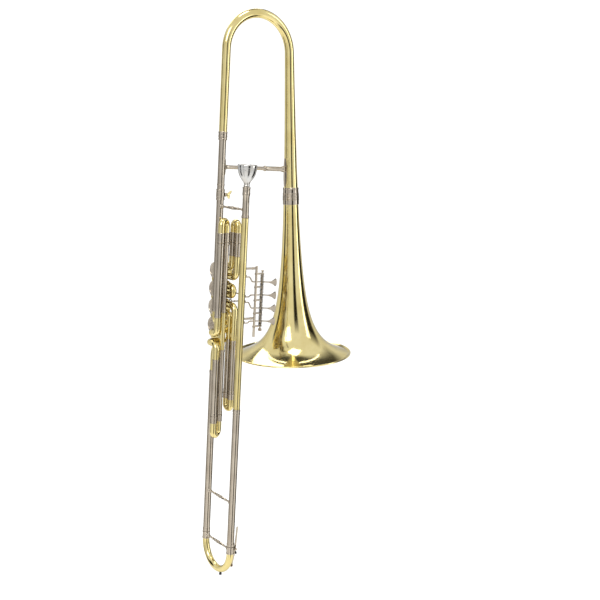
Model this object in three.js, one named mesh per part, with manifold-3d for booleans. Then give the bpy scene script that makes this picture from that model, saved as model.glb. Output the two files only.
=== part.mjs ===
// Valve trombone with four rotary valves, in millimetres.
// X points from the left leg to the bell, Y from the mouthpipe to the back of the valves, Z up the legs.
// The origin lies on the axis of the left leg, where the left hand holds the valve section.
import * as THREE from 'three';
import { mergeVertices } from 'three/addons/utils/BufferGeometryUtils.js';
import Module from 'manifold-3d';

const wasm = await Module();
wasm.setup();

// Counts of facets and steps
const tubeSides = 8;
const turnedSides = 12;
const casingSides = 16;
const bellSides = 26;
const rodSides = 6;
const ferruleSides = 16;
const mouthpieceSides = 16;
const wireSides = 5;
const bendSteps = 2;
const bowSteps = 10;
const wideBowSteps = 4;
const curlSteps = 8;

// Clearances
const seatGap = 0.3;
const slideGap = 0.35;
const cutOverrun = 4;

// Legs and mouthpipe
const legRadius = 6.9;
const legWall = 0.6;
const slideSpacing = 92;
const clampHeight = 206;
const clampLength = 21;
const bowJointHeight = 318;
const legFootHeight = -140;
const sleeveEndHeight = -474;
const leadPipeFoot = -198;

// Bell bow and bell
const bowTubeRadius = 7.8;
const bowWall = 0.7;
const bowBend = 72.5;
const bowCentreHeight = 481;
const bellLean = THREE.MathUtils.degToRad(4.4);
const bellReach = 610;
const bellRimRadius = 121.5;
const flareShift = 26;
const flarePower = 0.807;
const bellWall = 0.8;
const rimBead = 2.6;
const rimBandWidth = 4;
const bellJointReach = 332;
const bellFerruleLength = 34;
const bellFerruleWall = 1.4;
const bellFerruleRibs = 3;
const bowFerruleLength = 16;
const bellSeamStep = 4;
const ferruleShareAbove = 0.4;

// Valves
const valveCount = 4;
const valveTopHeight = 55.4;
const valvePitch = 36.5;
const valveDepth = 24;
const portPlane = 26;
const portSpread = 8.6;
const casingRadius = 15;
const casingWall = 1.3;
const casingFront = 10.2;
const casingBack = 41;
const casingBackWall = 2.4;
const rotorLength = 22;
const webThickness = 4.4;
const scoopRadius = 24;
const spindleRadius = 3.4;
const journalRadius = 4.2;
const bearingPlateThickness = 2.2;
const capRadius = 16.1;
const capFront = 6.4;
const capSkirtWall = 0.8;
const capFaceThickness = 3.4;
const capRelief = 1;
const capSkirtReach = 7.6;
const knuckleReach = 17;

// Valve tubing
const loopRadius = 6.4;
const loopWall = 0.55;
const innerLegWall = 0.5;
const loopBend = 12;
const tightBend = 10;
const frontLegDepth = -11.5;
const loopJointHeight = 115;
const loopTopHeight = 154;
const loopFerruleLength = 19;
const loopInsertion = 24;
const secondSlideReach = -12;
const secondSleeveReach = -2;
const secondInsertion = 9;
const thirdJointHeight = -184;
const thirdBottomHeight = -215.6;
const fourthRearX = -11.6;
const fourthRearY = -28;
const fourthFrontX = 5.8;
const fourthFrontY = -18;
const fourthTopHeight = 157;
const fourthBottomHeight = -266.6;
const fourthLowJointHeight = -226;
const crossingDepth = 3;
const underValveDrop = 20;
const feedX = 46;
const feedY = 50;
const feedCornerHeight = -97.5;
const feedBend = 14;

// Main tuning slide
const slideInsertion = 130;
const slideFerruleLength = 15;
const bumperRadius = 3;
const bumperHeight = 4.3;
const bumperShift = 14;

// Mouthpiece and receiver
const mouthpieceTop = 267.8;
const mouthpieceLength = 78;
const receiverTop = 226.4;
const receiverFoot = 169;
const receiverRadius = 6.4;
const receiverWall = 0.8;
const receiverCollar = 7.5;

// Stays
const crossBraceShare = 0.4143;
const crossBraceRadius = 4.2;
const receiverStayHeight = 184;
const fixedStayHeight = -387;
const stayRadius = 2;
const stayBeadRadius = 3;
const stayFootRadius = 5;
const stayFootLength = 3;
const stayFootShare = 0.8;
const saddlePlateShare = 0.6432;
const saddlePlateWidth = 9;
const saddlePlateThickness = 1.6;
const saddleShareAbove = 0.4;

// Lever frame
const leverDepth = -22;
const barX = 73;
const barDepth = -28.7;
const barTop = 68.9;
const barBottom = -73.5;
const barWidth = 5;
const barThickness = 2.2;
const postRadius = 2.5;
const postHeights = [64.5, -35.4];
const axleX = 91.7;
const axleRadius = 1.5;
const axleTop = 59.6;
const axleBottom = -63.8;
const axleKnobRadius = 3.6;
const axleKnobLength = 6;
const saddleTopHeight = 52.4;
const saddlePitch = 26.4;
const saddleThickness = 2.6;
const saddleRadius = 3.4;
const barrelRadius = 2.9;
const leverBelowSaddle = 16.4;
const armRadius = 1.3;
const paddleReach = 32;
const paddleLength = 15.5;
const paddleHeight = 16.4;
const paddleNeck = 4;
const paddleThickness = 1.8;
const leverReach = 36;
const leverEndHeights = [45.7, 5.8, -5.1, -46.9];
const crankSides = [-1, -1, 1, 1];
const coilRadius = 3.95;
const coilWireRadius = 0.45;
const coilCurls = [4, 2];
const pinRadius = 1.1;
const eyeWall = 1.4;
const eyeThickness = 2.2;

// Cranks and stops
const crankRadius = 10;
const crankFront = 44.4;
const crankThickness = 3.2;
const crankHubRadius = 5;
const crankArmWidth = 4.4;
const linkPlane = 53;
const linkRadius = 1.2;
const rotorTurn = Math.PI / 2;
const stopPostRadius = 1.8;
const stopPostReach = 10.5;
const stopPostAngle = THREE.MathUtils.degToRad(70);

// Water key
const keyPivotHeight = -480.5;
const keyTop = -436;
const keyPadHeight = -519;
const keyStandOff = 11.6;
const keyWidth = 5;
const keyThickness = 1.4;
const keyPinRadius = 0.9;
const keyHingeRadius = 2;
const keyPadRadius = 3.6;
const keyPadThickness = 2;
const keyNippleRadius = 2.8;
const keyEarLength = 1.6;
const keyHeadLength = 2.4;
const keyHeadRadius = 2.6;

// Directions
const right = new THREE.Vector3(1, 0, 0);
const back = new THREE.Vector3(0, 1, 0);
const up = new THREE.Vector3(0, 0, 1);
const forward = back.clone().negate();
const down = up.clone().negate();
const fourthAcross = new THREE.Vector3(fourthFrontX - fourthRearX, fourthFrontY - fourthRearY, 0);
const fourthSpacing = fourthAcross.length();
fourthAcross.normalize();
const fourthNormal = new THREE.Vector3().crossVectors(up, fourthAcross);

function point(x, y, z) {
  return new THREE.Vector3(x, y, z);
}

// Finishes
const lacqueredBrass = { color: '#d9b13b', roughness: 0.16, metalness: 1 };
const nickelSilver = { color: '#b9b2a2', roughness: 0.24, metalness: 1 };
const silverPlate = { color: '#e6e6e8', roughness: 0.1, metalness: 1 };
const springSteel = { color: '#3b3a3c', roughness: 0.4, metalness: 1 };
const corkFinish = { color: '#6b4a2c', roughness: 0.9, metalness: 0 };
const rubberFinish = { color: '#2b2926', roughness: 0.8, metalness: 0 };

// Geometry helpers

// Merges shared points, drops flat triangles and turns the faces outwards.
function closedGeometry(source) {
  const bare = source.clone();
  bare.deleteAttribute('normal');
  bare.deleteAttribute('uv');
  const merged = mergeVertices(bare, seatGap / 1000);
  const place = merged.getAttribute('position');
  const kept = [];
  let volume = 0;
  const a = new THREE.Vector3();
  const b = new THREE.Vector3();
  const c = new THREE.Vector3();
  for (let i = 0; i < merged.index.count; i += 3) {
    const corners = [merged.index.getX(i), merged.index.getX(i + 1), merged.index.getX(i + 2)];
    if (new Set(corners).size < 3) continue;
    kept.push(...corners);
    a.fromBufferAttribute(place, corners[0]);
    b.fromBufferAttribute(place, corners[1]);
    c.fromBufferAttribute(place, corners[2]);
    volume += a.dot(b.cross(c));
  }
  if (volume < 0) kept.reverse();
  merged.setIndex(kept);
  return merged;
}

function toSolid(geometry) {
  const closed = closedGeometry(geometry);
  const vertProperties = new Float32Array(closed.getAttribute('position').array);
  const triVerts = new Uint32Array(closed.index.array);
  return new wasm.Manifold(new wasm.Mesh({ numProp: 3, vertProperties, triVerts }));
}

function toGeometry(solid) {
  const mesh = solid.getMesh();
  const geometry = new THREE.BufferGeometry();
  geometry.setAttribute('position', new THREE.BufferAttribute(mesh.vertProperties, mesh.numProp));
  geometry.setIndex(new THREE.BufferAttribute(mesh.triVerts, 1));
  return geometry;
}

function joined(geometries) {
  return toGeometry(geometries.map(toSolid).reduce((sum, solid) => sum.add(solid)));
}

function cut(geometry, cutters) {
  return toGeometry(cutters.map(toSolid).reduce((rest, cutter) => rest.subtract(cutter), toSolid(geometry)));
}

// A route of straight runs and round bends through corner points.
function bentRoute(corners, bends, bendCount = bendSteps) {
  const route = [];
  const last = corners.length - 1;
  const leave = (i) => corners[i + 1].clone().sub(corners[i]).normalize();
  route.push({ at: corners[0].clone(), along: leave(0) });
  for (let i = 1; i < last; i += 1) {
    const radius = Array.isArray(bends) ? bends[i - 1] : bends;
    const before = leave(i - 1);
    const after = leave(i);
    const angle = before.angleTo(after);
    const inward = after.clone().addScaledVector(before, -before.dot(after)).normalize();
    const entry = corners[i].clone().addScaledVector(before, -radius * Math.tan(angle / 2));
    const centre = entry.clone().addScaledVector(inward, radius);
    const steps = Math.max(1, Math.ceil((angle / (Math.PI / 2)) * bendCount - seatGap));
    for (let s = 0; s <= steps; s += 1) {
      const turn = (angle * s) / steps;
      const at = centre.clone();
      at.addScaledVector(inward, -radius * Math.cos(turn));
      at.addScaledVector(before, radius * Math.sin(turn));
      const along = before.clone().multiplyScalar(Math.cos(turn)).addScaledVector(inward, Math.sin(turn));
      if (at.distanceTo(route.at(-1).at) > seatGap / 10) route.push({ at, along });
    }
  }
  if (corners[last].distanceTo(route.at(-1).at) > seatGap / 10) {
    route.push({ at: corners[last].clone(), along: leave(last - 1) });
  }
  return route;
}

function withRadii(route, outer, inner) {
  return route.map((station) => ({ ...station, outer, inner }));
}

// A closed body through round sections; a section with no inner radius is solid.
function loft(stations, reference, sides = tubeSides) {
  const positions = [];
  const indices = [];
  const normal = reference.clone();
  const turn = new THREE.Quaternion();
  let previous = stations[0].along;
  normal.addScaledVector(previous, -normal.dot(previous)).normalize();
  const hollow = stations[0].inner > 0;
  const ringSize = hollow ? sides * 2 : sides;
  for (const station of stations) {
    turn.setFromUnitVectors(previous, station.along);
    normal.applyQuaternion(turn).normalize();
    previous = station.along;
    const binormal = new THREE.Vector3().crossVectors(station.along, normal);
    for (const radius of hollow ? [station.outer, station.inner] : [station.outer]) {
      for (let k = 0; k < sides; k += 1) {
        const angle = (2 * Math.PI * k) / sides;
        const corner = station.at.clone();
        corner.addScaledVector(normal, radius * Math.cos(angle));
        corner.addScaledVector(binormal, radius * Math.sin(angle));
        positions.push(corner.x, corner.y, corner.z);
      }
    }
  }
  const quad = (a, b, c, d) => indices.push(a, b, c, a, c, d);
  for (let i = 0; i + 1 < stations.length; i += 1) {
    for (let k = 0; k < sides; k += 1) {
      const next = (k + 1) % sides;
      const here = i * ringSize;
      const there = here + ringSize;
      quad(here + k, here + next, there + next, there + k);
      if (hollow) quad(there + sides + k, there + sides + next, here + sides + next, here + sides + k);
    }
  }
  for (const [ring, outward] of [[0, false], [(stations.length - 1) * ringSize, true]]) {
    for (let k = 0; k < sides; k += 1) {
      const next = (k + 1) % sides;
      if (hollow && outward) quad(ring + k, ring + next, ring + sides + next, ring + sides + k);
      else if (hollow) quad(ring + sides + k, ring + sides + next, ring + next, ring + k);
      else if (outward && k > 0 && next > 0) indices.push(ring, ring + k, ring + next);
      else if (!outward && k > 0 && next > 0) indices.push(ring, ring + next, ring + k);
    }
  }
  const geometry = new THREE.BufferGeometry();
  geometry.setAttribute('position', new THREE.Float32BufferAttribute(positions, 3));
  geometry.setIndex(indices);
  return geometry;
}

function pipe(corners, bends, outer, wall, reference = right, sides = tubeSides) {
  return loft(withRadii(bentRoute(corners, bends), outer, outer - wall), reference, sides);
}

function rod(corners, bends, radius, reference = right, sides = rodSides) {
  return loft(withRadii(bentRoute(corners, bends), radius, 0), reference, sides);
}

// Turns a profile of [radius, distance] points about an axis; closed profiles repeat their first point.
function turned(profile, origin, axis, reference = right, sides = turnedSides) {
  const outline = profile.map(([radius, distance]) => new THREE.Vector2(radius, distance));
  const geometry = new THREE.LatheGeometry(outline, sides);
  const side = new THREE.Vector3().crossVectors(axis, reference).normalize();
  const facing = new THREE.Vector3().crossVectors(side, axis);
  const place = new THREE.Matrix4().makeBasis(side, axis, facing).setPosition(origin);
  return closedGeometry(geometry.applyMatrix4(place));
}

function disc(radius, length, origin, axis, reference = right, sides = turnedSides) {
  return turned([[0, 0], [radius, 0], [radius, length], [0, length]], origin, axis, reference, sides);
}

function ring(inner, outer, length, origin, axis, reference = right, sides = turnedSides) {
  const profile = [[inner, 0], [outer, 0], [outer, length], [inner, length], [inner, 0]];
  return turned(profile, origin, axis, reference, sides);
}

function block(width, depth, height, centre) {
  return new THREE.BoxGeometry(width, depth, height).translate(centre.x, centre.y, centre.z);
}

const trombone = new THREE.Group();

function add(name, geometry, finish) {
  const material = new THREE.MeshStandardMaterial(finish);
  const mesh = new THREE.Mesh(geometry, material);
  mesh.name = name;
  trombone.add(mesh);
}

// Values that several pieces share
const legBore = legRadius - legWall;
const loopBore = loopRadius - loopWall;
const innerLegRadius = loopBore - slideGap;
const portSpacing = 2 * portSpread;
const outerLegDepth = frontLegDepth - portSpacing;
const casingBore = casingRadius - casingWall;
const rotorRadius = casingBore - seatGap;
const rotorFront = portPlane - rotorLength / 2;
const rotorBack = portPlane + rotorLength / 2;
const portEntry = valveDepth - casingRadius * 0.6;
const portExit = valveDepth + casingRadius * 0.6;
const valveHeights = Array.from({ length: valveCount }, (_, i) => valveTopHeight - valvePitch * i);

function valveAxisPoint(index, x) {
  return point(x, valveDepth, valveHeights[index]);
}

function casingCutter(index) {
  const start = valveAxisPoint(index, casingFront - cutOverrun);
  return disc(casingRadius + seatGap, casingBack - casingFront + 2 * cutOverrun, start, right, up, casingSides);
}

// Left leg, lead pipe and feed

function addLegs() {
  const elbowHeight = valveHeights[3] + portSpread;
  const elbowStart = elbowHeight + loopBend + slideGap;
  add('upper_leg', pipe([point(0, 0, bowJointHeight), point(0, 0, elbowStart)], 0, legRadius, legWall), nickelSilver);
  const elbow = [
    point(0, 0, elbowStart - seatGap),
    point(0, 0, elbowHeight),
    point(portPlane, 0, elbowHeight),
    point(portPlane, portEntry, elbowHeight),
  ];
  const elbowTube = pipe(elbow, [loopBend, tightBend], loopRadius, loopWall);
  add('upper_leg_elbow', cut(elbowTube, [casingCutter(3)]), lacqueredBrass);

  const feedTop = valveHeights[0] + portSpread;
  const feed = [
    point(0, 0, legFootHeight + seatGap),
    point(0, 0, feedCornerHeight),
    point(feedX, feedY, feedCornerHeight),
    point(feedX, feedY, feedTop),
    point(portPlane, feedY, feedTop),
    point(portPlane, portExit, feedTop),
  ];
  const feedTube = pipe(feed, [feedBend, feedBend, tightBend, tightBend], loopRadius, loopWall);
  add('feed_tube', cut(feedTube, [casingCutter(0)]), lacqueredBrass);
}

function sleeveWithCollar(x, y, top, foot, radius, wall, reference = right) {
  const collar = radius + wall;
  const bandLength = radius;
  const stations = [
    { height: top, outer: radius },
    { height: foot + bandLength, outer: radius },
    { height: foot + bandLength, outer: collar },
    { height: foot, outer: collar },
  ];
  const inner = radius - wall;
  return loft(stations.map(({ height, outer }) => ({ at: point(x, y, height), along: down, outer, inner })), reference);
}

function addLowerLegs() {
  const leftSleeve = sleeveWithCollar(0, 0, legFootHeight, sleeveEndHeight, legRadius, legWall);
  add('lower_leg', leftSleeve, nickelSilver);
  const rightSleeve = sleeveWithCollar(0, -slideSpacing, leadPipeFoot, sleeveEndHeight, legRadius, legWall);
  add('mouthpipe_sleeve', rightSleeve, nickelSilver);
  const leadRadius = legRadius - seatGap;
  const leadPipe = pipe(
    [point(0, -slideSpacing, receiverFoot - seatGap), point(0, -slideSpacing, leadPipeFoot + seatGap)],
    0, leadRadius, legWall,
  );
  add('lead_pipe', leadPipe, lacqueredBrass);
}

function addReceiver() {
  const length = receiverTop - receiverFoot;
  const bore = receiverRadius - receiverWall;
  const collarLength = receiverCollar;
  const profile = [
    [bore, 0],
    [receiverCollar - receiverWall, 0],
    [receiverCollar - receiverWall, collarLength / 2],
    [receiverRadius, collarLength / 2],
    [receiverRadius, length - 2 * collarLength],
    [receiverCollar, length - collarLength],
    [receiverCollar, length],
    [bore, length],
    [bore, 0],
  ];
  const foot = point(0, -slideSpacing, receiverFoot);
  add('mouthpiece_receiver', turned(profile, foot, up, right, turnedSides), nickelSilver);
}

function addMouthpiece() {
  const rimRadius = 18.2;
  const biteRadius = 12.8;
  const throatRadius = 3.2;
  const shankTip = 4.7;
  const shankTop = 5.1;
  const cupDepth = 25;
  const shoulder = mouthpieceLength - mouthpieceTop + receiverTop;
  const cupOuterShares = [[0.31, 0.9], [0.37, 2.2], [0.55, 4.4], [0.8, 6.8], [0.95, 9.9], [1, 12.5], [1, 13.7]];
  const profile = [
    [throatRadius, 0],
    [shankTip, 0],
    [shankTop, shoulder],
    [shankTop + receiverWall, shoulder + receiverWall],
  ];
  const cupHeight = mouthpieceLength - shoulder;
  const topShare = cupOuterShares.at(-1)[1];
  for (const [radiusShare, heightShare] of cupOuterShares) {
    const height = shoulder + 2 * receiverWall + (cupHeight - 3 * receiverWall) * (heightShare / topShare);
    profile.push([rimRadius * radiusShare, height]);
  }
  profile.push([rimRadius - receiverWall, mouthpieceLength]);
  profile.push([biteRadius + receiverWall, mouthpieceLength]);
  profile.push([biteRadius, mouthpieceLength - receiverWall]);
  const cupInnerShares = [[0.98, 0.3], [0.85, 0.6], [0.6, 0.85], [0.3, 1]];
  for (const [radiusShare, depthShare] of cupInnerShares) {
    profile.push([biteRadius * radiusShare, mouthpieceLength - cupDepth * depthShare]);
  }
  profile.push([throatRadius, 0]);
  const tip = point(0, -slideSpacing, mouthpieceTop - mouthpieceLength);
  add('mouthpiece', turned(profile, tip, up, right, mouthpieceSides), silverPlate);
}

// Bell bow and bell

const bowEnd = point(bowBend * (1 + Math.cos(bellLean)), 0, bowCentreHeight + bowBend * Math.sin(bellLean));
const bellAxis = point(Math.sin(bellLean), 0, -Math.cos(bellLean));

function bellAxisPoint(reach) {
  return bowEnd.clone().addScaledVector(bellAxis, reach);
}

function flareRadius(fromRim) {
  return bellRimRadius * (flareShift / (fromRim + flareShift)) ** flarePower;
}

function bellReachAtHeight(height) {
  return (bowEnd.z - height) / Math.cos(bellLean);
}

function addBellBow() {
  const jointReach = bellReach - bellJointReach;
  const turnAngle = Math.PI - bellLean;
  const steps = bowSteps;
  const route = [];
  const straight = bowCentreHeight - bowJointHeight - seatGap;
  const total = straight + bowBend * turnAngle;
  const endRadius = flareRadius(bellReach);
  route.push({ at: point(0, 0, bowJointHeight + seatGap), along: up.clone(), outer: bowTubeRadius });
  for (let s = 0; s <= steps; s += 1) {
    const turn = (turnAngle * s) / steps;
    const at = point(bowBend * (1 - Math.cos(turn)), 0, bowCentreHeight + bowBend * Math.sin(turn));
    const along = point(Math.sin(turn), 0, Math.cos(turn));
    const outer = THREE.MathUtils.lerp(bowTubeRadius, endRadius, (straight + bowBend * turn) / total);
    route.push({ at, along, outer });
  }
  const tailSteps = bendSteps;
  for (let s = 1; s <= tailSteps; s += 1) {
    const reach = (jointReach * s) / tailSteps;
    route.push({ at: bellAxisPoint(reach), along: bellAxis, outer: flareRadius(bellReach - reach) });
  }
  const stations = route.map((station) => ({ ...station, inner: station.outer - bowWall }));
  add('bell_bow', loft(stations, back, turnedSides), lacqueredBrass);
}

function addBell() {
  const steps = 9;
  const joint = bellJointReach - seatGap;
  const outline = [];
  for (let s = 0; s <= steps; s += 1) {
    const share = s / steps;
    const fromRim = joint * (1 - share) ** 3 + rimBead * share;
    outline.push([fromRim, flareRadius(fromRim)]);
  }
  const outer = outline.map(([fromRim, radius]) => [radius, bellReach - fromRim]);
  const inner = outline.map(([fromRim, radius]) => {
    const slope = (flarePower * radius) / (fromRim + flareShift);
    const tilt = Math.hypot(1, slope);
    return [radius - bellWall / tilt, bellReach - fromRim + (bellWall * slope) / tilt];
  });
  const seam = bellSeamStep;
  const apart = ([radius, reach], [farRadius, farReach]) => {
    const share = seatGap / (farReach - reach);
    return [radius + (farRadius - radius) * share, reach + seatGap];
  };
  const throat = [...outer.slice(0, seam + 1), ...inner.slice(0, seam + 1).reverse(), outer[0]];
  add('bell_throat', turned(throat, bowEnd, bellAxis, back, bellSides), lacqueredBrass);

  const outerStart = apart(outer[seam], outer[seam + 1]);
  const inside = inner.slice(seam + 1).reverse();
  const flare = [
    outerStart,
    ...outer.slice(seam + 1),
    [bellRimRadius, bellReach - rimBead],
    [bellRimRadius, bellReach],
    [bellRimRadius - rimBandWidth, bellReach],
    ...inside.filter(([radius]) => radius < bellRimRadius - rimBandWidth - bellWall),
    apart(inner[seam], inner[seam + 1]),
    outerStart,
  ];
  add('bell_flare', turned(flare, bowEnd, bellAxis, back, bellSides), lacqueredBrass);

  const ferruleStart = bellReach - bellJointReach - bellFerruleLength * ferruleShareAbove;
  const allowance = 1 / Math.cos(Math.PI / ferruleSides);
  const hold = (along) => flareRadius(bellReach - ferruleStart - along) * allowance + seatGap;
  const rib = bellFerruleWall / 2;
  const ribPitch = bellFerruleLength / (2 * bellFerruleRibs + 3);
  const outside = (along, extra) => [hold(along) + bellFerruleWall + extra, along];
  const ferrule = [[hold(0), 0], outside(0, 0)];
  for (let i = 0; i < bellFerruleRibs; i += 1) {
    const at = bellFerruleLength / 2 + (i - (bellFerruleRibs - 1) / 2) * ribPitch;
    ferrule.push(outside(at - ribPitch / 2, 0));
    ferrule.push(outside(at - ribPitch / 4, rib));
    ferrule.push(outside(at + ribPitch / 4, rib));
  }
  ferrule.push(outside(bellFerruleLength / 2 + (bellFerruleRibs * ribPitch) / 2, 0));
  ferrule.push(outside(bellFerruleLength, 0));
  ferrule.push([hold(bellFerruleLength), bellFerruleLength]);
  ferrule.push([hold(0), 0]);
  add('bell_ferrule', turned(ferrule, bellAxisPoint(ferruleStart), bellAxis, back, ferruleSides), nickelSilver);
}

// A small ring that covers a joint on the left leg.
function addBowFerrule() {
  const length = bowFerruleLength;
  const foot = point(0, 0, bowJointHeight - length / 2);
  const inner = bowTubeRadius + seatGap;
  const lower = legRadius + seatGap;
  const outer = inner + bowWall;
  const profile = [
    [lower, 0],
    [outer - bowWall / 2, 0],
    [outer, bowWall],
    [outer, length - bowWall],
    [outer - bowWall / 2, length],
    [inner, length],
    [inner, length / 2 - bowWall],
    [lower, length / 2 - bowWall],
    [lower, 0],
  ];
  add('bow_ferrule', turned(profile, foot, up, right, turnedSides), nickelSilver);
}

// Braces

function addCrossBrace() {
  const lowEnd = bellAxisPoint(bellReach - bellJointReach - bellFerruleLength * ferruleShareAbove).z;
  const room = bowJointHeight - bowFerruleLength / 2 - lowEnd;
  const height = lowEnd + room * crossBraceShare;
  const saddlePlateLength = room * saddlePlateShare;
  const reach = bellReachAtHeight(height);
  const tail = bellAxisPoint(reach);
  const plateStart = reach - saddlePlateLength * saddleShareAbove;
  const topInner = flareRadius(bellReach - plateStart) + seatGap;
  const footInner = flareRadius(bellReach - plateStart - saddlePlateLength) + seatGap;
  const start = legRadius + seatGap;
  const length = tail.x - footInner - start;
  const profileShares = [
    [0, 0], [1.75, 0], [1.75, 0.012], [1.2, 0.025], [0.9, 0.03], [0.85, 0.28], [0.86, 0.66],
    [1.3, 0.67], [1.3, 0.69], [1.05, 0.7], [1.12, 1], [0, 1],
  ];
  const profile = profileShares.map(([radius, along]) => [radius * crossBraceRadius, along * length]);
  const brace = turned(profile, point(start, 0, height), right, up, turnedSides);

  const shell = turned([
    [topInner, 0], [topInner + saddlePlateThickness, 0], [footInner + saddlePlateThickness, saddlePlateLength],
    [footInner, saddlePlateLength], [topInner, 0],
  ], bellAxisPoint(plateStart), bellAxis, back, turnedSides);
  const middle = bellAxisPoint(plateStart + saddlePlateLength / 2);
  const keep = block(2 * footInner, saddlePlateWidth, 2 * saddlePlateLength, middle);
  keep.translate(-footInner, 0, 0);
  const plate = toGeometry(toSolid(shell).intersect(toSolid(keep)));
  add('cross_brace', cut(joined([brace, plate]), [legCutter(0, height, legRadius)]), nickelSilver);
}

// A turned stay with beads, between two tubes of the slide.
function turnedStay(height, nearRadius, farRadius) {
  const start = point(0, -nearRadius * stayFootShare, height);
  const length = slideSpacing - (nearRadius + farRadius) * stayFootShare;
  const footRadius = stayFootRadius;
  const beadPitch = stayFootLength * 1.5;
  const beadCount = 3;
  const middle = length / 2;
  const profile = [[0, 0], [footRadius, 0], [footRadius * 0.7, stayFootLength / 2], [stayRadius, stayFootLength]];
  for (let i = 0; i < beadCount; i += 1) {
    const at = middle + (i - (beadCount - 1) / 2) * beadPitch;
    const radius = i % 2 === 0 ? stayBeadRadius : (stayRadius + stayBeadRadius) / 2;
    profile.push([stayRadius * 0.8, at - beadPitch / 2]);
    profile.push([radius, at - beadPitch / 6]);
    profile.push([radius, at + beadPitch / 6]);
  }
  profile.push([stayRadius * 0.8, middle + (beadCount * beadPitch) / 2]);
  profile.push([stayRadius, length - stayFootLength]);
  profile.push([footRadius * 0.7, length - stayFootLength / 2]);
  profile.push([footRadius, length]);
  profile.push([0, length]);
  return turned(profile, start, forward, right, tubeSides);
}

function legCutter(y, height, radius, sides = tubeSides) {
  const span = 4 * stayFootRadius;
  return disc(radius + seatGap, span, point(0, y, height - span / 2), up, right, sides);
}

function addStays() {
  const fixed = turnedStay(fixedStayHeight, legRadius, legRadius);
  const fixedCutters = [legCutter(0, fixedStayHeight, legRadius), legCutter(-slideSpacing, fixedStayHeight, legRadius)];
  add('fixed_stay', cut(fixed, fixedCutters), nickelSilver);

  const upper = turnedStay(receiverStayHeight, legRadius, receiverRadius);
  const upperCutters = [
    legCutter(0, receiverStayHeight, legRadius),
    legCutter(-slideSpacing, receiverStayHeight, receiverRadius, turnedSides),
  ];
  add('receiver_stay', cut(upper, upperCutters), nickelSilver);

  const ferruleRadius = legRadius + legWall;
  const movingHeight = sleeveEndHeight - slideFerruleLength / 2;
  const moving = turnedStay(movingHeight, ferruleRadius, ferruleRadius);
  const movingCutters = [legCutter(0, movingHeight, ferruleRadius), legCutter(-slideSpacing, movingHeight, ferruleRadius)];
  add('slide_stay', cut(moving, movingCutters), nickelSilver);
}

// Clamp on the left leg with its wing screw

function addClamp() {
  const inner = legRadius + seatGap;
  const outer = inner + 2 * legWall;
  const foot = point(0, 0, clampHeight - clampLength / 2);
  const bossLength = 4;
  const bossRadius = 4;
  const bossStart = point(inner + legWall, 0, clampHeight);
  const collar = ring(inner, outer, clampLength, foot, up, right, turnedSides);
  const boss = disc(bossRadius, bossLength + legWall, bossStart, right, up, turnedSides);
  const tapShare = 0.55;
  const screwRadius = bossRadius * tapShare;
  const tap = disc(screwRadius + seatGap, bossLength + cutOverrun, point(outer + seatGap, 0, clampHeight), right, up);
  add('clamp_collar', cut(joined([collar, boss]), [tap]), nickelSilver);

  const start = outer + 2 * seatGap;
  const shankLength = bossLength + 5;
  const wingSpan = 17;
  const wingLength = 7;
  const wingThickness = 1.8;
  const shank = turned(
    [[0, 0], [screwRadius, 0], [screwRadius, bossLength], [screwRadius * 1.6, bossLength + legWall],
      [screwRadius * 0.8, shankLength], [0, shankLength]],
    point(start, 0, clampHeight), right, up, 10,
  );
  const wing = new THREE.Shape();
  wing.moveTo(-wingLength / 2, 0);
  wing.lineTo(-wingLength / 4, wingSpan * 0.2);
  wing.quadraticCurveTo(wingLength * 0.1, wingSpan * 0.5, wingLength * 0.7, wingSpan * 0.55);
  wing.quadraticCurveTo(wingLength * 0.8, wingSpan * 0.2, wingLength / 2, 0);
  wing.quadraticCurveTo(wingLength * 0.8, -wingSpan * 0.2, wingLength * 0.7, -wingSpan * 0.55);
  wing.quadraticCurveTo(wingLength * 0.1, -wingSpan * 0.5, -wingLength / 4, -wingSpan * 0.2);
  wing.closePath();
  const wings = new THREE.ExtrudeGeometry(wing, { depth: wingThickness, bevelEnabled: false, curveSegments: 2 });
  wings.translate(0, 0, -wingThickness / 2);
  wings.rotateX(rotorTurn);
  wings.rotateX(bellLean * 6);
  wings.translate(start + shankLength, 0, clampHeight);
  add('wing_screw', joined([shank, wings]), lacqueredBrass);
}

// Valves

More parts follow.
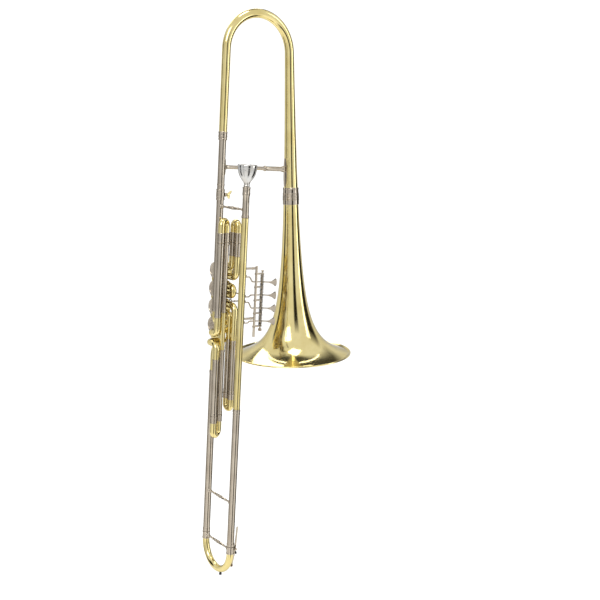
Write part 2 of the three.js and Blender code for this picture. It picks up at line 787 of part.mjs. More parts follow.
function addValve(index) {
  const number = index + 1;
  const height = valveHeights[index];
  const shellStart = valveAxisPoint(index, casingFront);
  const shellLength = casingBack - casingFront;
  const backWallStart = shellLength - casingBackWall;
  const bearing = spindleRadius + seatGap;
  const journalHole = journalRadius + seatGap;
  const plateBack = rotorFront - seatGap - casingFront;
  const shell = turned([
    [journalHole, 0], [casingRadius, 0], [casingRadius, shellLength], [bearing, shellLength],
    [bearing, backWallStart], [casingBore, backWallStart], [casingBore, plateBack], [journalHole, plateBack],
    [journalHole, 0],
  ], shellStart, right, up, casingSides);
  const bores = [portSpread, -portSpread].map((spread) => disc(
    loopBore, 2 * (casingRadius + cutOverrun) + valveDepth,
    point(portPlane, -cutOverrun, height + spread), back, right, tubeSides,
  ));
  const bodies = [shell, ...stopPosts(index)];
  const sleeves = slideSleeves(index);
  const hollow = disc(casingBore, backWallStart - plateBack, valveAxisPoint(index, casingFront + plateBack), right, up, casingSides);
  const shellWithPorts = cut(joined(bodies), bores);
  const outside = sleeves.map((sleeve) => cut(sleeve, [hollow]));
  add(`valve_casing_${number}`, joined([shellWithPorts, ...outside]), lacqueredBrass);

  const skirtInner = casingRadius + seatGap;
  const bossRadius = capRadius * 0.3;
  const capProfile = [
    [0, 0], [bossRadius, 0], [bossRadius, capRelief], [capRadius * 0.84, capRelief], [capRadius * 0.88, 0],
    [capRadius, 0], [capRadius, capSkirtReach], [skirtInner, capSkirtReach], [skirtInner, capFaceThickness],
    [0, capFaceThickness],
  ];
  const capTip = valveAxisPoint(index, capFront);
  add(`valve_cap_${number}`, turned(capProfile, capTip, right, up, casingSides), nickelSilver);

  const scoopOffset = webThickness / 2 + scoopRadius;
  const restSpokes = number === valveCount ? [up, down] : [back, forward];
  const scoopWidth = 2 * loopBore;
  const scoops = restSpokes.map((spoke) => {
    const start = valveAxisPoint(index, portPlane - loopBore).addScaledVector(spoke, scoopOffset);
    return disc(scoopRadius, scoopWidth, start, right, up, casingSides);
  });
  const spindleLength = linkPlane - crankThickness - seatGap - rotorBack;
  const journalLength = bearingPlateThickness;
  const body = turned([
    [0, -journalLength], [journalRadius, -journalLength], [journalRadius, 0], [rotorRadius, 0],
    [rotorRadius, rotorLength], [spindleRadius, rotorLength], [spindleRadius, rotorLength + spindleLength],
    [0, rotorLength + spindleLength],
  ], valveAxisPoint(index, rotorFront), right, up, casingSides);
  add(`rotor_${number}`, joined([cut(body, scoops), crank(index)]), nickelSilver);
}

// The arm on the back of a rotor, with the pin that the link's ring goes round.
function crankPin(index) {
  const start = rotorTurn / 2;
  const y = valveDepth + crankRadius * Math.sin(start);
  const z = valveHeights[index] + crankSides[index] * crankRadius * Math.cos(start);
  return point(linkPlane, y, z);
}

function crank(index) {
  const pin = crankPin(index);
  const hub = valveAxisPoint(index, crankFront);
  const hubDisc = disc(crankHubRadius, crankThickness, hub, right, up, turnedSides);
  const tip = point(crankFront, pin.y, pin.z);
  const tipDisc = disc(crankArmWidth / 2, crankThickness, tip, right, up, turnedSides);
  const arm = block(crankThickness, crankRadius, crankArmWidth, point(crankThickness / 2, crankRadius / 2, 0));
  const swing = Math.atan2(pin.z - hub.z, pin.y - hub.y);
  arm.rotateX(swing);
  arm.translate(crankFront, hub.y, hub.z);
  const pinLength = linkPlane + eyeThickness - crankFront;
  const pinRod = disc(pinRadius, pinLength, tip, right, up, rodSides);
  return joined([hubDisc, tipDisc, arm, pinRod]);
}

// Two posts behind the casing that stop the crank at either end of its quarter turn.
function stopPosts(index) {
  return [1, -1].map((side) => {
    const y = valveDepth + side * stopPostReach * Math.sin(stopPostAngle);
    const z = valveHeights[index] + crankSides[index] * stopPostReach * Math.cos(stopPostAngle);
    const start = casingBack - casingBackWall / 2;
    return disc(stopPostRadius, crankFront + crankThickness - start, point(start, y, z), right, up, rodSides);
  });
}

// The outer sleeves of a valve's slide, soldered to the casing at its front ports.
function slideSleeves(index) {
  const high = valveHeights[index] + portSpread;
  const low = valveHeights[index] - portSpread;
  const bent = (leg, height, end) => pipe([
    point(portPlane, leg, end),
    point(portPlane, leg, height),
    point(portPlane, portEntry, height),
  ], loopBend, loopRadius, loopWall);
  if (index === 0) return [bent(frontLegDepth, high, loopJointHeight), bent(outerLegDepth, low, loopJointHeight)];
  if (index === 2) return [bent(frontLegDepth, low, thirdJointHeight), bent(outerLegDepth, high, thirdJointHeight)];
  if (index === 3) return [];
  return [high, low].map((height) => pipe(
    [point(portPlane, secondSleeveReach, height), point(portPlane, portEntry, height)], 0, loopRadius, loopWall,
  ));
}

function addKnuckles() {
  for (let index = 0; index + 1 < valveCount; index += 1) {
    const top = valveHeights[index] - portSpread;
    const bottom = valveHeights[index + 1] + portSpread;
    const bend = (top - bottom) / 2;
    const reach = valveDepth + knuckleReach + bend;
    const corners = [
      point(portPlane, portExit, top),
      point(portPlane, reach, top),
      point(portPlane, reach, bottom),
      point(portPlane, portExit, bottom),
    ];
    const tube = cut(pipe(corners, bend, loopRadius, loopWall), [casingCutter(index), casingCutter(index + 1)]);
    add(`valve_knuckle_${index + 1}`, tube, lacqueredBrass);
  }
}

// Valve slides

// A bow whose ends step down to inner legs that run inside the sleeves.
function slideBow(corners, bends, insertion, outer, reference) {
  const route = bentRoute(corners, bends);
  const thin = outer - loopWall - slideGap;
  const inner = thin - innerLegWall;
  const first = route[0];
  const last = route.at(-1);
  const stations = [
    { at: first.at.clone().addScaledVector(first.along, -insertion), along: first.along, outer: thin, inner },
    { ...first, outer: thin, inner },
    ...withRadii(route, outer, inner),
    { ...last, outer: thin, inner },
    { at: last.at.clone().addScaledVector(last.along, insertion), along: last.along, outer: thin, inner },
  ];
  return loft(stations, reference);
}

function addFirstSlide() {
  const inner = frontLegDepth;
  const outer = outerLegDepth;
  const foot = loopJointHeight + seatGap;
  const bend = portSpacing / 2;
  const corners = [
    point(portPlane, inner, foot), point(portPlane, inner, loopTopHeight),
    point(portPlane, outer, loopTopHeight), point(portPlane, outer, foot),
  ];
  add('first_valve_slide', slideBow(corners, bend, loopInsertion, loopRadius, right), lacqueredBrass);
}

function addSecondSlide() {
  const top = valveHeights[1] + portSpread;
  const bottom = valveHeights[1] - portSpread;
  const start = secondSleeveReach - seatGap;
  const reach = secondSlideReach - portSpread;
  const corners = [
    point(portPlane, start, top), point(portPlane, reach, top),
    point(portPlane, reach, bottom), point(portPlane, start, bottom),
  ];
  add('second_valve_slide', slideBow(corners, portSpread, secondInsertion, loopRadius, right), lacqueredBrass);
}

function addThirdSlide() {
  const top = thirdJointHeight - seatGap;
  const corners = [
    point(portPlane, frontLegDepth, top), point(portPlane, frontLegDepth, thirdBottomHeight),
    point(portPlane, outerLegDepth, thirdBottomHeight), point(portPlane, outerLegDepth, top),
  ];
  add('third_valve_slide', slideBow(corners, portSpacing / 2, loopInsertion, loopRadius, right), lacqueredBrass);
}

function addFourthLoop() {
  const rear = (height) => point(fourthRearX, fourthRearY, height);
  const front = (height) => point(fourthFrontX, fourthFrontY, height);
  const low = valveHeights[3] - portSpread;
  const rearTube = pipe([
    rear(loopJointHeight),
    rear(low),
    point(fourthRearX, 0, low),
    point(portPlane, 0, low),
    point(portPlane, portEntry, low),
  ], [loopBend, loopBend, tightBend], loopRadius, loopWall, fourthNormal);
  add('fourth_loop_rear_tube', cut(rearTube, [casingCutter(3)]), nickelSilver);
  const frontTube = pipe([front(loopJointHeight), front(fourthLowJointHeight)], 0, loopRadius, loopWall, fourthNormal);
  add('fourth_loop_front_tube', frontTube, nickelSilver);
  const under = low - underValveDrop;
  const bend = underValveDrop / 2;
  const behind = valveDepth + knuckleReach + bend;
  const lowerTube = pipe([
    rear(fourthLowJointHeight),
    rear(under),
    point(fourthRearX, crossingDepth, under),
    point(portPlane, crossingDepth, under),
    point(portPlane, behind, under),
    point(portPlane, behind, low),
    point(portPlane, portExit, low),
  ], [loopBend, tightBend, tightBend, bend, bend], loopRadius, loopWall, fourthNormal);
  add('fourth_loop_lower_tube', cut(lowerTube, [casingCutter(3)]), lacqueredBrass);

  const bow = fourthSpacing / 2;
  const joint = loopJointHeight + seatGap;
  const upper = [rear(joint), rear(fourthTopHeight), front(fourthTopHeight), front(joint)];
  add('fourth_valve_upper_slide', slideBow(upper, bow, loopInsertion, loopRadius, fourthNormal), lacqueredBrass);
  const lowJoint = fourthLowJointHeight - seatGap;
  const lower = [rear(lowJoint), rear(fourthBottomHeight), front(fourthBottomHeight), front(lowJoint)];
  add('fourth_valve_lower_slide', slideBow(lower, bow, loopInsertion, loopRadius, fourthNormal), lacqueredBrass);
}

// Main tuning slide, bumper and water key

const keyPivotX = legRadius + legWall + seatGap + keyHingeRadius;
const keyEarGap = keyWidth / 2 + seatGap;

// Two ears and the pin of the water key, soldered to the slide's ferrule.
function keyHingeMount() {
  const bodies = [];
  const footX = legRadius - 2 * legWall;
  const width = keyPivotX - footX;
  const line = (y) => point(keyPivotX, y, keyPivotHeight);
  for (const start of [keyEarGap - slideSpacing, -keyEarGap - keyEarLength - slideSpacing]) {
    bodies.push(disc(keyHingeRadius, keyEarLength, line(start), back, up, tubeSides));
    const middle = point(footX + width / 2, start + keyEarLength / 2, keyPivotHeight);
    bodies.push(block(width, keyEarLength, 2 * keyHingeRadius, middle));
  }
  const reach = keyEarGap + keyEarLength;
  bodies.push(disc(keyPinRadius, 2 * reach + keyHeadLength, line(-slideSpacing - reach - keyHeadLength), back, up, rodSides));
  bodies.push(disc(keyHeadRadius, keyHeadLength, line(-slideSpacing - reach - keyHeadLength), back, up, tubeSides));
  return bodies;
}

function addMainSlide() {
  const top = sleeveEndHeight - seatGap;
  const bend = slideSpacing / 2;
  const ferruleFoot = top - slideFerruleLength;
  const thin = legBore - slideGap;
  const inner = thin - innerLegWall;
  const ferrule = legRadius + legWall;
  const bottom = ferruleFoot - bend;
  const route = withRadii(bentRoute([
    point(0, 0, ferruleFoot), point(0, 0, bottom), point(0, -slideSpacing, bottom), point(0, -slideSpacing, ferruleFoot),
  ], bend, wideBowSteps), legRadius, inner);
  const leg = (y, height, along, outer) => ({ at: point(0, y, height), along, outer, inner });
  const stations = [
    leg(0, top + slideInsertion, down, thin),
    leg(0, top, down, thin),
    leg(0, top, down, ferrule),
    leg(0, ferruleFoot, down, ferrule),
    ...route,
    leg(-slideSpacing, ferruleFoot, up, ferrule),
    leg(-slideSpacing, top, up, ferrule),
    leg(-slideSpacing, top, up, thin),
    leg(-slideSpacing, top + slideInsertion, up, thin),
  ];
  const drop = ferruleFoot - keyPadHeight;
  const padY = -bend - bend * Math.cos(Math.asin(drop / bend));
  const nippleStart = point((legRadius + inner) / 2, padY, keyPadHeight);
  const nippleLength = legRadius + seatGap + keyPadThickness - nippleStart.x;
  const nipple = disc(keyNippleRadius, nippleLength, nippleStart, right, up, tubeSides);
  const drain = disc(keyNippleRadius - legWall, nippleLength + cutOverrun, nippleStart.clone().setX(0), right, up, tubeSides);
  const bodies = [loft(stations, right), nipple, ...keyHingeMount()];
  add('main_tuning_slide', cut(joined(bodies), [drain]), lacqueredBrass);
  const underside = Math.sqrt((bend + legRadius) ** 2 - (bumperShift - bumperRadius) ** 2);
  const seat = ferruleFoot - underside - seatGap;
  const bumper = disc(bumperRadius, bumperHeight, point(0, -bend - bumperShift, seat - bumperHeight), up);
  add('bumper', bumper, rubberFinish);
}

function addWaterKey() {
  const lane = -slideSpacing;
  const pivotX = legRadius + legWall + seatGap + keyHingeRadius;
  const pivot = point(pivotX, lane - keyWidth / 2, keyPivotHeight);
  const hinge = disc(keyHingeRadius, keyWidth, pivot, back, up, tubeSides);
  const bore = disc(keyPinRadius + seatGap, keyWidth + 2 * cutOverrun, pivot.clone().setY(pivot.y - cutOverrun), back, up, rodSides);
  const bow = slideSpacing / 2;
  const drop = sleeveEndHeight - seatGap - slideFerruleLength - keyPadHeight;
  const padY = -bow - bow * Math.cos(Math.asin(drop / bow));
  const seatX = legRadius + seatGap;
  const nipple = seatX + keyPadThickness;
  const padTop = nipple + seatGap;
  const stripX = pivotX + keyHingeRadius - keyThickness;
  const upperLength = keyTop - keyPivotHeight;
  const upperStrip = block(keyThickness, keyWidth, upperLength, point(0, 0, upperLength / 2));
  upperStrip.rotateY(Math.atan2(keyStandOff - pivotX + keyThickness, upperLength));
  upperStrip.translate(stripX, lane, keyPivotHeight);
  const lowerDrop = keyPivotHeight - keyPadHeight;
  const lowerStrip = block(keyThickness, keyWidth - 2 * seatGap, lowerDrop, point(0, 0, -lowerDrop / 2));
  lowerStrip.rotateX(Math.atan2(padY - lane, lowerDrop));
  lowerStrip.translate(padTop + keyPadThickness + keyThickness / 2, lane, keyPivotHeight);
  const padCup = disc(keyPadRadius + legWall, keyThickness + legWall, point(padTop + keyPadThickness, padY, keyPadHeight), right, up, tubeSides);
  add('water_key', cut(joined([hinge, upperStrip, lowerStrip, padCup]), [bore]), nickelSilver);
  const cork = disc(keyPadRadius, keyPadThickness - seatGap, point(padTop, padY, keyPadHeight), right, up, tubeSides);
  add('water_key_cork', cork, corkFinish);

}

// Lever frame, levers, coils and links

function saddleHeight(index) {
  return saddleTopHeight - saddlePitch * index;
}

function leverHeight(index) {
  return saddleHeight(index) - leverBelowSaddle;
}

function addLeverFrame() {
  const barHeight = barTop - barBottom;
  const bar = block(barWidth, barThickness, barHeight, point(barX, barDepth, (barTop + barBottom) / 2));
  const postStart = portPlane;
  const posts = postHeights.map((height) => disc(
    postRadius, barX - postStart, point(postStart, barDepth, height), right, up, 10,
  ));
  const cutters = [disc(
    loopRadius + seatGap, loopTopHeight - thirdBottomHeight, point(portPlane, outerLegDepth, thirdBottomHeight), up, right, tubeSides,
  )];
  const saddles = [];
  for (let index = 0; index <= valveCount; index += 1) {
    const foot = saddleHeight(index) - saddleThickness / 2;
    const eye = ring(axleRadius + seatGap, saddleRadius, saddleThickness, point(axleX, leverDepth, foot), up, right, rodSides);
    const from = point(barX, barDepth, saddleHeight(index));
    const to = point(axleX - axleRadius - seatGap - barThickness / 2, leverDepth, saddleHeight(index));
    const arm = rod([from, point(barX, leverDepth, from.z), to], barThickness * 1.5, armRadius, up);
    saddles.push(joined([eye, arm]));
  }
  add('lever_frame', cut(joined([bar, ...posts, ...saddles]), cutters), nickelSilver);

  const axle = turned([
    [0, 0], [axleKnobRadius, 0], [axleKnobRadius, axleKnobLength], [axleRadius, axleKnobLength],
    [axleRadius, axleTop - axleBottom - axleKnobLength / 2], [axleKnobRadius * 0.8, axleTop - axleBottom - axleKnobLength / 2],
    [axleKnobRadius * 0.8, axleTop - axleBottom], [0, axleTop - axleBottom],
  ], point(axleX, leverDepth, axleBottom), up, right, tubeSides);
  add('lever_axle', axle, nickelSilver);

}

const leverSwing = 2 * Math.asin((crankRadius * Math.sin(rotorTurn / 2)) / leverReach);

function addLever(index) {
  const number = index + 1;
  const height = leverHeight(index);
  const barrelTop = saddleHeight(index) - saddleThickness / 2 - seatGap;
  const barrelFoot = saddleHeight(index + 1) + saddleThickness / 2 + seatGap;
  const barrel = ring(axleRadius + seatGap, barrelRadius, barrelTop - barrelFoot, point(0, 0, barrelFoot), up, right, tubeSides);
  const rise = leverEndHeights[index] - height;
  const bendStart = leverReach * 0.7;
  const bendEnd = leverReach * 0.45 + Math.abs(rise);
  const kink = Math.min(bendStart + 1, bendEnd + 4);
  const wristX = -(leverReach - 9);
  const crookX = -(leverReach - 9 - Math.min(Math.abs(rise), 6));
  const inward = rod([
    point(-axleRadius - seatGap - armRadius / 2, 0, height),
    point(crookX, 0, height),
    point(wristX, 0, leverEndHeights[index]),
    point(-leverReach, 0, leverEndHeights[index]),
  ], armRadius * 1.5, armRadius, up);
  const neckX = paddleReach - paddleLength;
  const outward = rod([
    point(axleRadius + seatGap + armRadius / 2, 0, height),
    point(neckX + armRadius, 0, height - armRadius),
  ], 0, armRadius, up);
  const plate = new THREE.Shape();
  const half = paddleHeight / 2;
  plate.moveTo(0, -paddleNeck / 2);
  plate.quadraticCurveTo(paddleLength * 0.6, -paddleNeck / 2, paddleLength * 0.82, -half);
  plate.quadraticCurveTo(paddleLength, -half, paddleLength, -half * 0.8);
  plate.lineTo(paddleLength, half * 0.8);
  plate.quadraticCurveTo(paddleLength, half, paddleLength * 0.82, half);
  plate.quadraticCurveTo(paddleLength * 0.6, paddleNeck / 2, 0, paddleNeck / 2);
  plate.closePath();
  const paddle = new THREE.ExtrudeGeometry(plate, { depth: paddleThickness, bevelEnabled: false, curveSegments: 2 });
  paddle.rotateX(rotorTurn);
  paddle.translate(neckX, paddleThickness / 2, height - armRadius);
  const pin = disc(pinRadius, eyeThickness + 2 * armRadius, point(-leverReach, 0, leverEndHeights[index] - armRadius / 2), up, right, rodSides);
  const lever = joined([barrel, inward, outward, paddle, pin]);
  const bore = disc(axleRadius + seatGap, barrelTop - barrelFoot + 2 * cutOverrun, point(0, 0, barrelFoot - cutOverrun), up, right, tubeSides);
  const shape = cut(lever, [bore]);
  shape.rotateZ(-leverSwing / 2);
  shape.translate(axleX, leverDepth, 0);
  add(`lever_${number}`, shape, nickelSilver);
  return { kink };
}

// A double torsion spring on a lever's barrel: curls above the arm, a straight bridge past it, curls below.
function addCoil(index) {
  const wire = coilWireRadius;
  const stub = 2 * wire;
  const top = saddleHeight(index) - saddleThickness / 2 - seatGap;
  const foot = saddleHeight(index + 1) + saddleThickness / 2 + seatGap;
  const bridge = armRadius + stub;
  const runs = [
    [top - stub, leverHeight(index) + bridge, coilCurls[0]],
    [leverHeight(index) - bridge, foot + stub, coilCurls[1]],
  ];
  const rim = (step, z) => {
    const angle = (2 * Math.PI * step) / curlSteps - rotorTurn;
    return point(axleX + coilRadius * Math.cos(angle), leverDepth + coilRadius * Math.sin(angle), z);
  };
  const centre = [rim(0, top)];
  for (const [high, low, curls] of runs) {
    const steps = curls * curlSteps;
    for (let s = 0; s <= steps; s += 1) centre.push(rim(s, high + ((low - high) * s) / steps));
  }
  centre.push(rim(0, foot));
  const stations = centre.map((at, i) => {
    const before = centre[Math.max(0, i - 1)];
    const after = centre[Math.min(centre.length - 1, i + 1)];
    return { at, along: after.clone().sub(before).normalize(), outer: wire, inner: 0 };
  });
  let least = Infinity;
  for (let i = 0; i < centre.length; i += 1) {
    for (let j = i + curlSteps / 2; j < centre.length; j += 1) {
      least = Math.min(least, centre[i].distanceTo(centre[j]) - 2 * wire);
    }
  }
  console.log(`lever_spring_${index + 1}: least gap to itself ${least.toFixed(2)} mm`);
  add(`lever_spring_${index + 1}`, loft(stations, right, wireSides), springSteel);
}

function leverEnd(index) {
  const angle = leverSwing / 2;
  return point(
    axleX - leverReach * Math.cos(angle), leverDepth + leverReach * Math.sin(angle), leverEndHeights[index],
  );
}

function addLink(index) {
  const number = index + 1;
  const start = leverEnd(index);
  const pin = crankPin(index);
  const drift = crankRadius * (1 - Math.cos(rotorTurn / 2));
  const eyeInner = pinRadius + drift / 2 + slideGap + seatGap;
  const eyeOuter = eyeInner + eyeWall;
  const centre = point(linkPlane - eyeThickness / 2, pin.y, pin.z + (crankSides[index] * drift) / 2);
  const farEye = ring(eyeInner, eyeOuter, eyeThickness, centre, right, up, tubeSides);
  const nearInner = pinRadius + seatGap;
  const nearFoot = start.z + armRadius + seatGap;
  const nearEye = ring(nearInner, nearInner + eyeWall, eyeThickness, point(start.x, start.y, nearFoot), up, right, tubeSides);
  const from = point(start.x, start.y + nearInner + eyeWall / 2, nearFoot + eyeThickness / 2);
  const to = point(linkPlane, centre.y - eyeInner - eyeWall / 2, centre.z);
  const shaft = rod([from, to], 0, linkRadius, up);
  add(`link_${number}`, joined([nearEye, shaft, farEye]), nickelSilver);
}

addMouthpiece();
addReceiver();
addLegs();
addLowerLegs();
addBowFerrule();
addBellBow();
addBell();
addCrossBrace();
addStays();
addClamp();
for (let index = 0; index < valveCount; index += 1) addValve(index);
addKnuckles();
addFirstSlide();
addSecondSlide();
addThirdSlide();
addFourthLoop();
addMainSlide();
addWaterKey();
addLeverFrame();
for (let index = 0; index < valveCount; index += 1) addLever(index);
for (let index = 0; index < valveCount; index += 1) addCoil(index);
for (let index = 0; index < valveCount; index += 1) addLink(index);

export default trombone;
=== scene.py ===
"""A valve trombone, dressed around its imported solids. It is laid out as an add-on and run as a script."""

import math

import bmesh
import bpy
from bpy.props import FloatProperty, FloatVectorProperty, IntProperty, PointerProperty
from mathutils import Matrix, Vector


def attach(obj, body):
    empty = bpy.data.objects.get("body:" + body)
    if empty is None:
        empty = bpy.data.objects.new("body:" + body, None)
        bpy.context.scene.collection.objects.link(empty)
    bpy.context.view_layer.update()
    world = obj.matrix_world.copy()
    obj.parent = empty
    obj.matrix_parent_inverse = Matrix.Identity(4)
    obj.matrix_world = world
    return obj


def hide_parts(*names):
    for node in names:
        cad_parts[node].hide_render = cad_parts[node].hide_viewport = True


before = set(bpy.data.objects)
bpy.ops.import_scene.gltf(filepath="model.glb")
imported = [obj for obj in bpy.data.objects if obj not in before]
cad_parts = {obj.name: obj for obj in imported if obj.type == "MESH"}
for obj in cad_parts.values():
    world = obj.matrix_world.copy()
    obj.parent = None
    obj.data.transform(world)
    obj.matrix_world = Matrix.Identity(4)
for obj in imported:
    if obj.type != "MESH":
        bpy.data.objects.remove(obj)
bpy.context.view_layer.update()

bl_info = {
    "name": "Valve Trombone",
    "version": (1, 0, 0),
    "blender": (4, 5, 0),
    "location": "3D View > Sidebar > Trombone",
    "description": "Builds the visible pieces of a valve trombone around its solids",
    "category": "Object",
}

MM = 0.001
RIGHT = Vector((1, 0, 0))
BACK = Vector((0, 1, 0))
UP = Vector((0, 0, 1))
DOWN = -UP
FORWARD = -BACK
BASE = "instrument"
BRASS = "lacquered_brass"
NICKEL = "nickel_silver"
SILVER = "silver_plate"
STEEL = "spring_steel"
CORK = "cork"
RUBBER = "rubber"

# Places and sizes shared by several pieces, in millimetres, and angles in radians.
SLIDE_SPACING = 92
SLEEVE_END = -474
LEG_BORE = 6.3
GAP = 0.3
VALVE_DEPTH = 24
VALVE_HEIGHTS = (55.4, 18.9, -17.6, -54.1)
PORT_PLANE = 26
PORT_SPREAD = 8.6
FRONT_END = VALVE_DEPTH - 0.1
REAR_END = VALVE_DEPTH + 0.1
ROTOR_ROOM = 14.2
LOOP_BORE = 5.85
FRONT_LEG = -11.5
OUTER_LEG = -28.7
REAR = (-11.6, -28)
FRONT = (5.8, -18)
BELL_LEAN = math.radians(4.4)
BOW_END = Vector((144.786, 0, 486.562)) * MM
BELL_AXIS = Vector((math.sin(BELL_LEAN), 0, -math.cos(BELL_LEAN)))
BELL_JOINT = 332
GARLAND = 34
CASING_FRONT = 10.2
CASING_BACK = 41
CAP_FRONT = 6.4
CRANK_FRONT = 44.4
CRANK_THICK = 3.2
CRANK_RADIUS = 10
CRANK_SIDES = (-1, -1, 1, 1)
CRANK_REST = math.pi / 4
CRANK_PIN = 1.1
LINK_PLANE = 53
EYE_THICK = 2.2
LEVER_DEPTH = -22
LEVER_REACH = 36
LEVER_ENDS = (45.7, 5.8, -5.1, -46.9)
LEVER_TILT = math.asin(CRANK_RADIUS * math.sin(CRANK_REST) / LEVER_REACH)
AXLE_X = 91.7
BAR_X = 73
BAR_DEPTH = -28.7
SADDLE_TOP = 52.4
SADDLE_PITCH = 26.4
SPRING_RADIUS = 3.95
WING_TILT = math.radians(26.4)
KEY_LANE = -SLIDE_SPACING
KEY_PIVOT_X = 9.8
KEY_PIVOT = -480.5
KEY_TOP = -436.2
KEY_PAD = -519
KEY_PAD_Y = -81.13
# Heights in metres.
FLOOR = -1.15
CARD_FOOT = FLOOR + 0.002


def length(name, description, millimetres):
    """A size that a user would change."""
    return FloatProperty(name=name, description=description, default=millimetres * MM, min=0, unit="LENGTH")


def colour(name, description, value):
    """A finish colour, given as an sRGB hex value."""
    return FloatVectorProperty(name=name, description=description, default=linear(value), size=4, subtype="COLOR")


def linear(value):
    """Turns an sRGB hex value such as d8a93c into linear red, green, blue and alpha."""
    shares = (int(value[start:start + 2], 16) / 255 for start in (0, 2, 4))
    return (*(s / 12.92 if s <= 0.04045 else ((s + 0.055) / 1.055) ** 2.4 for s in shares), 1.0)


def at(x, y, z):
    """A point of the frame, from millimetres."""
    return Vector((x, y, z)) * MM


class TromboneSizes(bpy.types.PropertyGroup):
    """Sizes shared by the instrument's pieces."""

    leg_radius: length("Leg radius", "Outer radius of the slide legs", 6.9)
    loop_radius: length("Loop radius", "Outer radius of the valve tubing", 6.4)
    bell_radius: length("Bell radius", "Radius of the bell's rim", 121.5)
    bell_reach: length("Bell reach", "Distance from the end of the bow to the rim", 610)
    flare_shift: length("Flare shift", "How far past the rim the flare's curve is centred", 26)
    flare_power: FloatProperty(name="Flare power", description="How sharply the bell opens", default=0.807)
    bow_bend: length("Bow bend", "Radius of the bell bow's centre line", 72.5)
    bow_tube: length("Bow tube", "Outer radius where the bow meets the left leg", 7.8)
    tube_sides: IntProperty(name="Tube sides", description="Facets round a tube", default=28, min=8)
    turned_sides: IntProperty(name="Turned sides", description="Facets round a turned piece", default=48, min=12)
    bell_sides: IntProperty(name="Bell sides", description="Facets round the bell", default=128, min=32)


class TromboneColours(bpy.types.PropertyGroup):
    """Colours of the finishes."""

    brass: colour("Brass", "Yellow brass under clear lacquer", "ecdc9e")
    brass_deep: colour("Deep brass", "Brass where the lacquer is thicker", "cdb568")
    nickel: colour("Nickel silver", "Polished nickel silver", "c6bbaa")
    nickel_deep: colour("Worn nickel silver", "Nickel silver where hands have dulled it", "9f9282")
    silver: colour("Silver plate", "Silver-plated mouthpiece", "cfcecb")
    spring: colour("Spring", "Blued spring wire", "34363c")
    cork: colour("Cork", "Pressed cork", "8a6238")
    rubber: colour("Rubber", "Black rubber", "1d1b1a")
    floor: colour("Floor", "Pale studio floor", "f4f3f1")


def sizes():
    """The scene's sizes."""
    return bpy.context.scene.trombone_sizes


def colours():
    """The scene's colours."""
    return bpy.context.scene.trombone_colours


def in_mm(size):
    """A stored size in millimetres, without the rounding of its single precision."""
    return round(size / MM, 4)


# Materials


def add_node(tree, kind, settings=None, links=None):
    """Adds a node with its settings and its links; a whole number stands for the socket in that place."""
    made = tree.nodes.new(kind)
    for key, value in (settings or {}).items():
        if isinstance(key, int) or key in made.inputs:
            made.inputs[key].default_value = value
        else:
            setattr(made, key, value)
    for key, source in (links or {}).items():
        tree.links.new(source, made.inputs[key])
    return made


def new_material(name):
    """A new material, its tree, and its object coordinates as a link."""
    material = bpy.data.materials.new(name)
    material.use_nodes = True
    tree = material.node_tree
    tree.nodes.clear()
    return material, tree, {"Vector": add_node(tree, "ShaderNodeTexCoord").outputs["Object"]}


def noise(tree, place, scale, detail, roughness=0.5):
    """Cloudy noise."""
    settings = {"Scale": scale, "Detail": detail, "Roughness": roughness}
    return add_node(tree, "ShaderNodeTexNoise", settings, place).outputs["Fac"]


def ranged(tree, value, *ends):
    """A value moved from one range to another."""
    settings = dict(zip(("From Min", "From Max", "To Min", "To Max"), ends))
    return add_node(tree, "ShaderNodeMapRange", settings, {"Value": value}).outputs["Result"]


def blended(tree, factor, light, deep):
    """Two tones, mixed by a factor."""
    settings = {"data_type": "RGBA", 6: light, 7: deep}
    return add_node(tree, "ShaderNodeMix", settings, {"Factor": factor}).outputs[2]


def principled(tree, settings, links):
    """The shader that a material ends in."""
    shader = add_node(tree, "ShaderNodeBsdfPrincipled", settings, links)
    add_node(tree, "ShaderNodeOutputMaterial", links={"Surface": shader.outputs["BSDF"]})


def polished_metal(name, light, deep, rough, patch, grain, coat, edge=1.0):
    """A polished metal with slow colour drift, handling marks and the fine lines left by the buffing wheel.

    patch is the size of the colour drift and grain the spacing of the buffing lines, both in millimetres, and
    edge is how bright the metal stays where it is seen at a grazing angle; below 1 it is painted shade on the metal's
    rims, a painted reflection of dark surroundings."""
    material, tree, place = new_material(name)
    drift = ranged(tree, noise(tree, place, 1 / (patch * MM), 3.0, 0.55), 0.35, 0.75, 0.0, 0.6)
    smear = noise(tree, place, 6 / (patch * MM), 5.0, 0.65)
    stretch = add_node(tree, "ShaderNodeMapping", {"Scale": (1.0, 1.0, 0.06)}, place)
    lines = noise(tree, {"Vector": stretch.outputs["Vector"]}, 1 / (grain * MM), 2.0)
    bump = add_node(tree, "ShaderNodeBump", {"Strength": 0.05, "Distance": 0.00004}, {"Height": lines})
    # Specular Tint below 1 is painted shade: it darkens the rims where the metal is seen at a grazing angle.
    principled(
        tree,
        {"Metallic": 1.0, "Coat Weight": coat, "Coat Roughness": 0.06, "Specular Tint": (edge, edge, edge, 1.0)},
        {"Base Color": blended(tree, drift, light, deep), "Normal": bump.outputs["Normal"],
         "Roughness": ranged(tree, smear, 0.3, 0.8, rough * 0.75, rough * 1.6)})
    return material


def soft_material(name, light, deep, rough, speck, depth):
    """A matt, non-metal finish whose grains are speck millimetres wide and depth millimetres deep."""
    material, tree, place = new_material(name)
    grains = add_node(tree, "ShaderNodeTexVoronoi", {"Scale": 1 / (speck * MM)}, place)
    bump = add_node(tree, "ShaderNodeBump", {"Strength": 0.5, "Distance": depth * MM},
                    {"Height": grains.outputs["Distance"]})
    tone = blended(tree, noise(tree, place, 0.4 / (speck * MM), 4.0), light, deep)
    principled(tree, {"Roughness": rough}, {"Base Color": tone, "Normal": bump.outputs["Normal"]})
    return material


